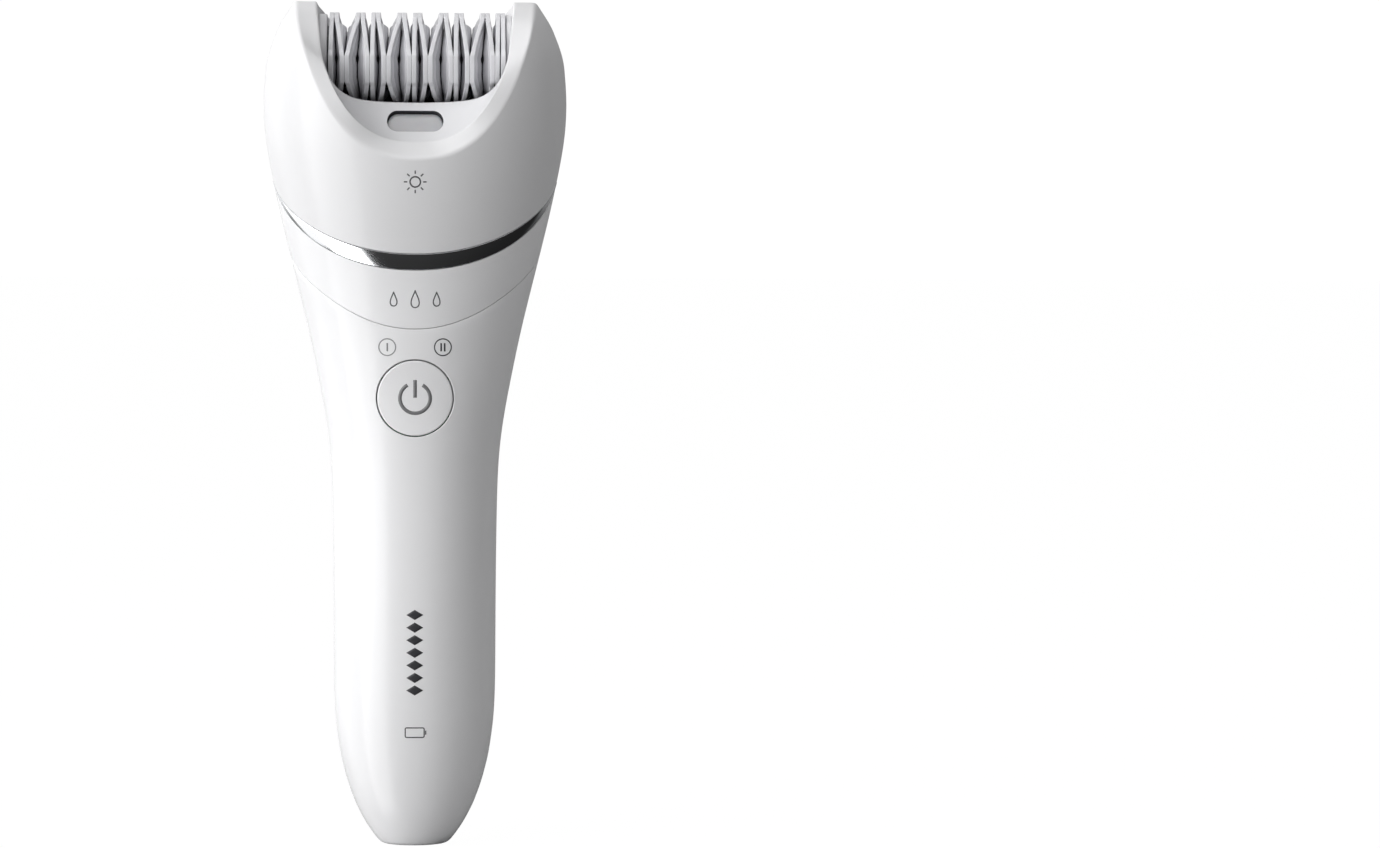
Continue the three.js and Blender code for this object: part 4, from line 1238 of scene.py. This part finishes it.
def add_camera():
    lens = bpy.data.cameras.new("camera")
    camera = bpy.data.objects.new("camera", lens)
    bpy.context.scene.collection.objects.link(camera)
    distance, lift = CAMERA["distance"], math.radians(CAMERA["elevation"])
    camera.location = (0, -distance * math.cos(lift), CAMERA["aim_z"] + distance * math.sin(lift))
    aim(camera, (CAMERA["aim_x"], 0, CAMERA["aim_z"]))
    camera.rotation_euler.rotate_axis("Z", math.radians(CAMERA["roll"]))
    lens.sensor_width = SENSOR
    lens.lens = SENSOR * distance / CAMERA["frame_width"]
    lens.clip_start = 0.05
    lens.clip_end = 50
    bpy.context.scene.camera = camera


def soft_box(name, place, target, size, power):
    lamp = bpy.data.lights.new(name, "AREA")
    lamp.shape = "RECTANGLE"
    lamp.size, lamp.size_y = size
    lamp.energy = power
    box = bpy.data.objects.new(name, lamp)
    box.location = place
    aim(box, target)
    box.visible_camera = False
    bpy.context.scene.collection.objects.link(box)


def mix_shaders(tree, factor, one, other):
    mix = tree.nodes.new("ShaderNodeMixShader")
    for place, socket in enumerate((factor, one, other)):
        tree.links.new(socket, mix.inputs[place])
    return mix.outputs[0]


def floor_finish():
    """Pale matt floor that looks white from the camera and is clear to reflections."""
    tree, shader = base_finish("floor_white")
    shader.inputs["Base Color"].default_value = (0.6, 0.6, 0.6, 1)
    shader.inputs["Roughness"].default_value = 0.9
    path = tree.nodes.new("ShaderNodeLightPath").outputs
    glow = node(tree, "ShaderNodeEmission", strength=1.02)
    clear = tree.nodes.new("ShaderNodeBsdfTransparent")
    share = maths(tree, "MULTIPLY", path["Is Camera Ray"], 0.97)
    seen = mix_shaders(tree, share, shader.outputs[0], glow.outputs[0])
    reflected = mix_shaders(tree, path["Is Glossy Ray"], seen, clear.outputs[0])
    out = next(n for n in tree.nodes if n.type == "OUTPUT_MATERIAL")
    tree.links.new(reflected, out.inputs["Surface"])


def add_floor():
    """A round floor of rings, wide enough to reach the horizon."""
    radii = (0.01, 0.3, 1, 3, 9)
    turns = full_turn(FLOOR_SIDES)
    points = [(radius * math.cos(t), radius * math.sin(t), 0) for radius in radii for t in turns]
    faces = [tuple(range(FLOOR_SIDES))]
    for first in range(0, len(points) - FLOOR_SIDES, FLOOR_SIDES):
        for i in range(FLOOR_SIDES):
            one, other = first + i, first + (i + 1) % FLOOR_SIDES
            faces.append((one, other, other + FLOOR_SIDES, one + FLOOR_SIDES))
    mesh = bpy.data.meshes.new("floor")
    mesh.from_pydata(points, [], faces)
    floor_finish()
    mesh.materials.append(FINISHES["floor_white"])
    floor = bpy.data.objects.new("floor", mesh)
    bpy.context.scene.collection.objects.link(floor)


def add_surroundings():
    """White from the camera. It lights from above, from behind and from a strip at the far left."""
    world = bpy.data.worlds.new("studio")
    bpy.context.scene.world = world
    world.use_nodes = True
    tree = world.node_tree
    tree.nodes.clear()
    place = tree.nodes.new("ShaderNodeTexCoord").outputs["Generated"]
    split = tree.nodes.new("ShaderNodeSeparateXYZ")
    tree.links.new(place, split.inputs[0])

    def ramp(value, stops):
        made = tree.nodes.new("ShaderNodeValToRGB")
        elements = made.color_ramp.elements
        elements[0].position, elements[1].position = stops[0][0], stops[-1][0]
        for position, _ in stops[1:-1]:
            elements.new(position)
        for element, (_, tone) in zip(elements, stops):
            element.color = (tone, tone, tone, 1)
        tree.links.new(value, made.inputs[0])
        return made.outputs[0]

    share = {
        axis: maths(tree, "ADD", maths(tree, "MULTIPLY", split.outputs[axis], 0.5), 0.5) for axis in "XYZ"
    }
    level = maths(tree, "MULTIPLY", ramp(share["Z"], WORLD_BY_HEIGHT), ramp(share["X"], WORLD_BY_SIDE))
    behind = maths(tree, "MULTIPLY", *(ramp(share[axis], WORLD_BEHIND[axis]) for axis in "YX"))
    behind = maths(tree, "MULTIPLY", behind, ramp(share["Z"], WORLD_BEHIND["Z"]))
    total = maths(tree, "ADD", maths(tree, "ADD", level, behind), ramp(share["X"], WORLD_STRIP))
    lit = node(tree, "ShaderNodeBackground", strength=1)
    tree.links.new(total, lit.inputs["Color"])
    seen = node(tree, "ShaderNodeBackground", strength=1.02)
    seen.inputs["Color"].default_value = (1, 1, 1, 1)
    path = tree.nodes.new("ShaderNodeLightPath").outputs
    out = tree.nodes.new("ShaderNodeOutputWorld")
    mixed = mix_shaders(tree, path["Is Camera Ray"], lit.outputs[0], seen.outputs[0])
    tree.links.new(mixed, out.inputs["Surface"])


def add_lights():
    """A tall soft box at the left and a weak one above the front."""
    soft_box("key_left", (-0.83, -0.56, -0.05), (0, 0, -0.05), (0.75, 2.0), 19.3)
    soft_box("front_top", (0.0, -0.28, 1.0), (0, 0, 0.1), (0.8, 0.6), 2.5)


# ---------------------------------------------------------------- assembly

add_camera()
make_finishes()
finish_inner_nodes()

half_shell("handle_front_moulding", -1, FINISHES["gloss_white"], "handle_front_shell")
half_shell("handle_back_moulding", 1, FINISHES["gloss_white"], "handle_back_shell")
neck_collar(FINISHES["gloss_white"])
power_button(FINISHES["gloss_white"])
release_button(FINISHES["satin_white"])
charging_socket(FINISHES["dark_plastic"])
head_cover(FINISHES["head_white"])
chrome_band(FINISHES["plated_chrome"])
barrel_cradle(FINISHES["satin_white"], FINISHES["dark_plastic"])
cheek_plate(-1, FINISHES["satin_white"])
cheek_plate(1, FINISHES["satin_white"])
light_window(FINISHES["lens_grey"])
for disc in range(DISC["count"]):
    tweezer_disc(disc, [FINISHES["disc_white"], FINISHES["disc_painted_shade"]])

power_symbol(FINISHES["print_mid"])
speed_marks(FINISHES["print_pale"], FINISHES["print_dark"])
sun_mark(FINISHES["print_grey"])
drop_marks(FINISHES["print_grey"])
lozenge_column(FINISHES["print_dark"])
battery_mark(FINISHES["print_grey"])

add_floor()
add_surroundings()
add_lights()
bpy.context.scene.view_settings.view_transform = "Standard"
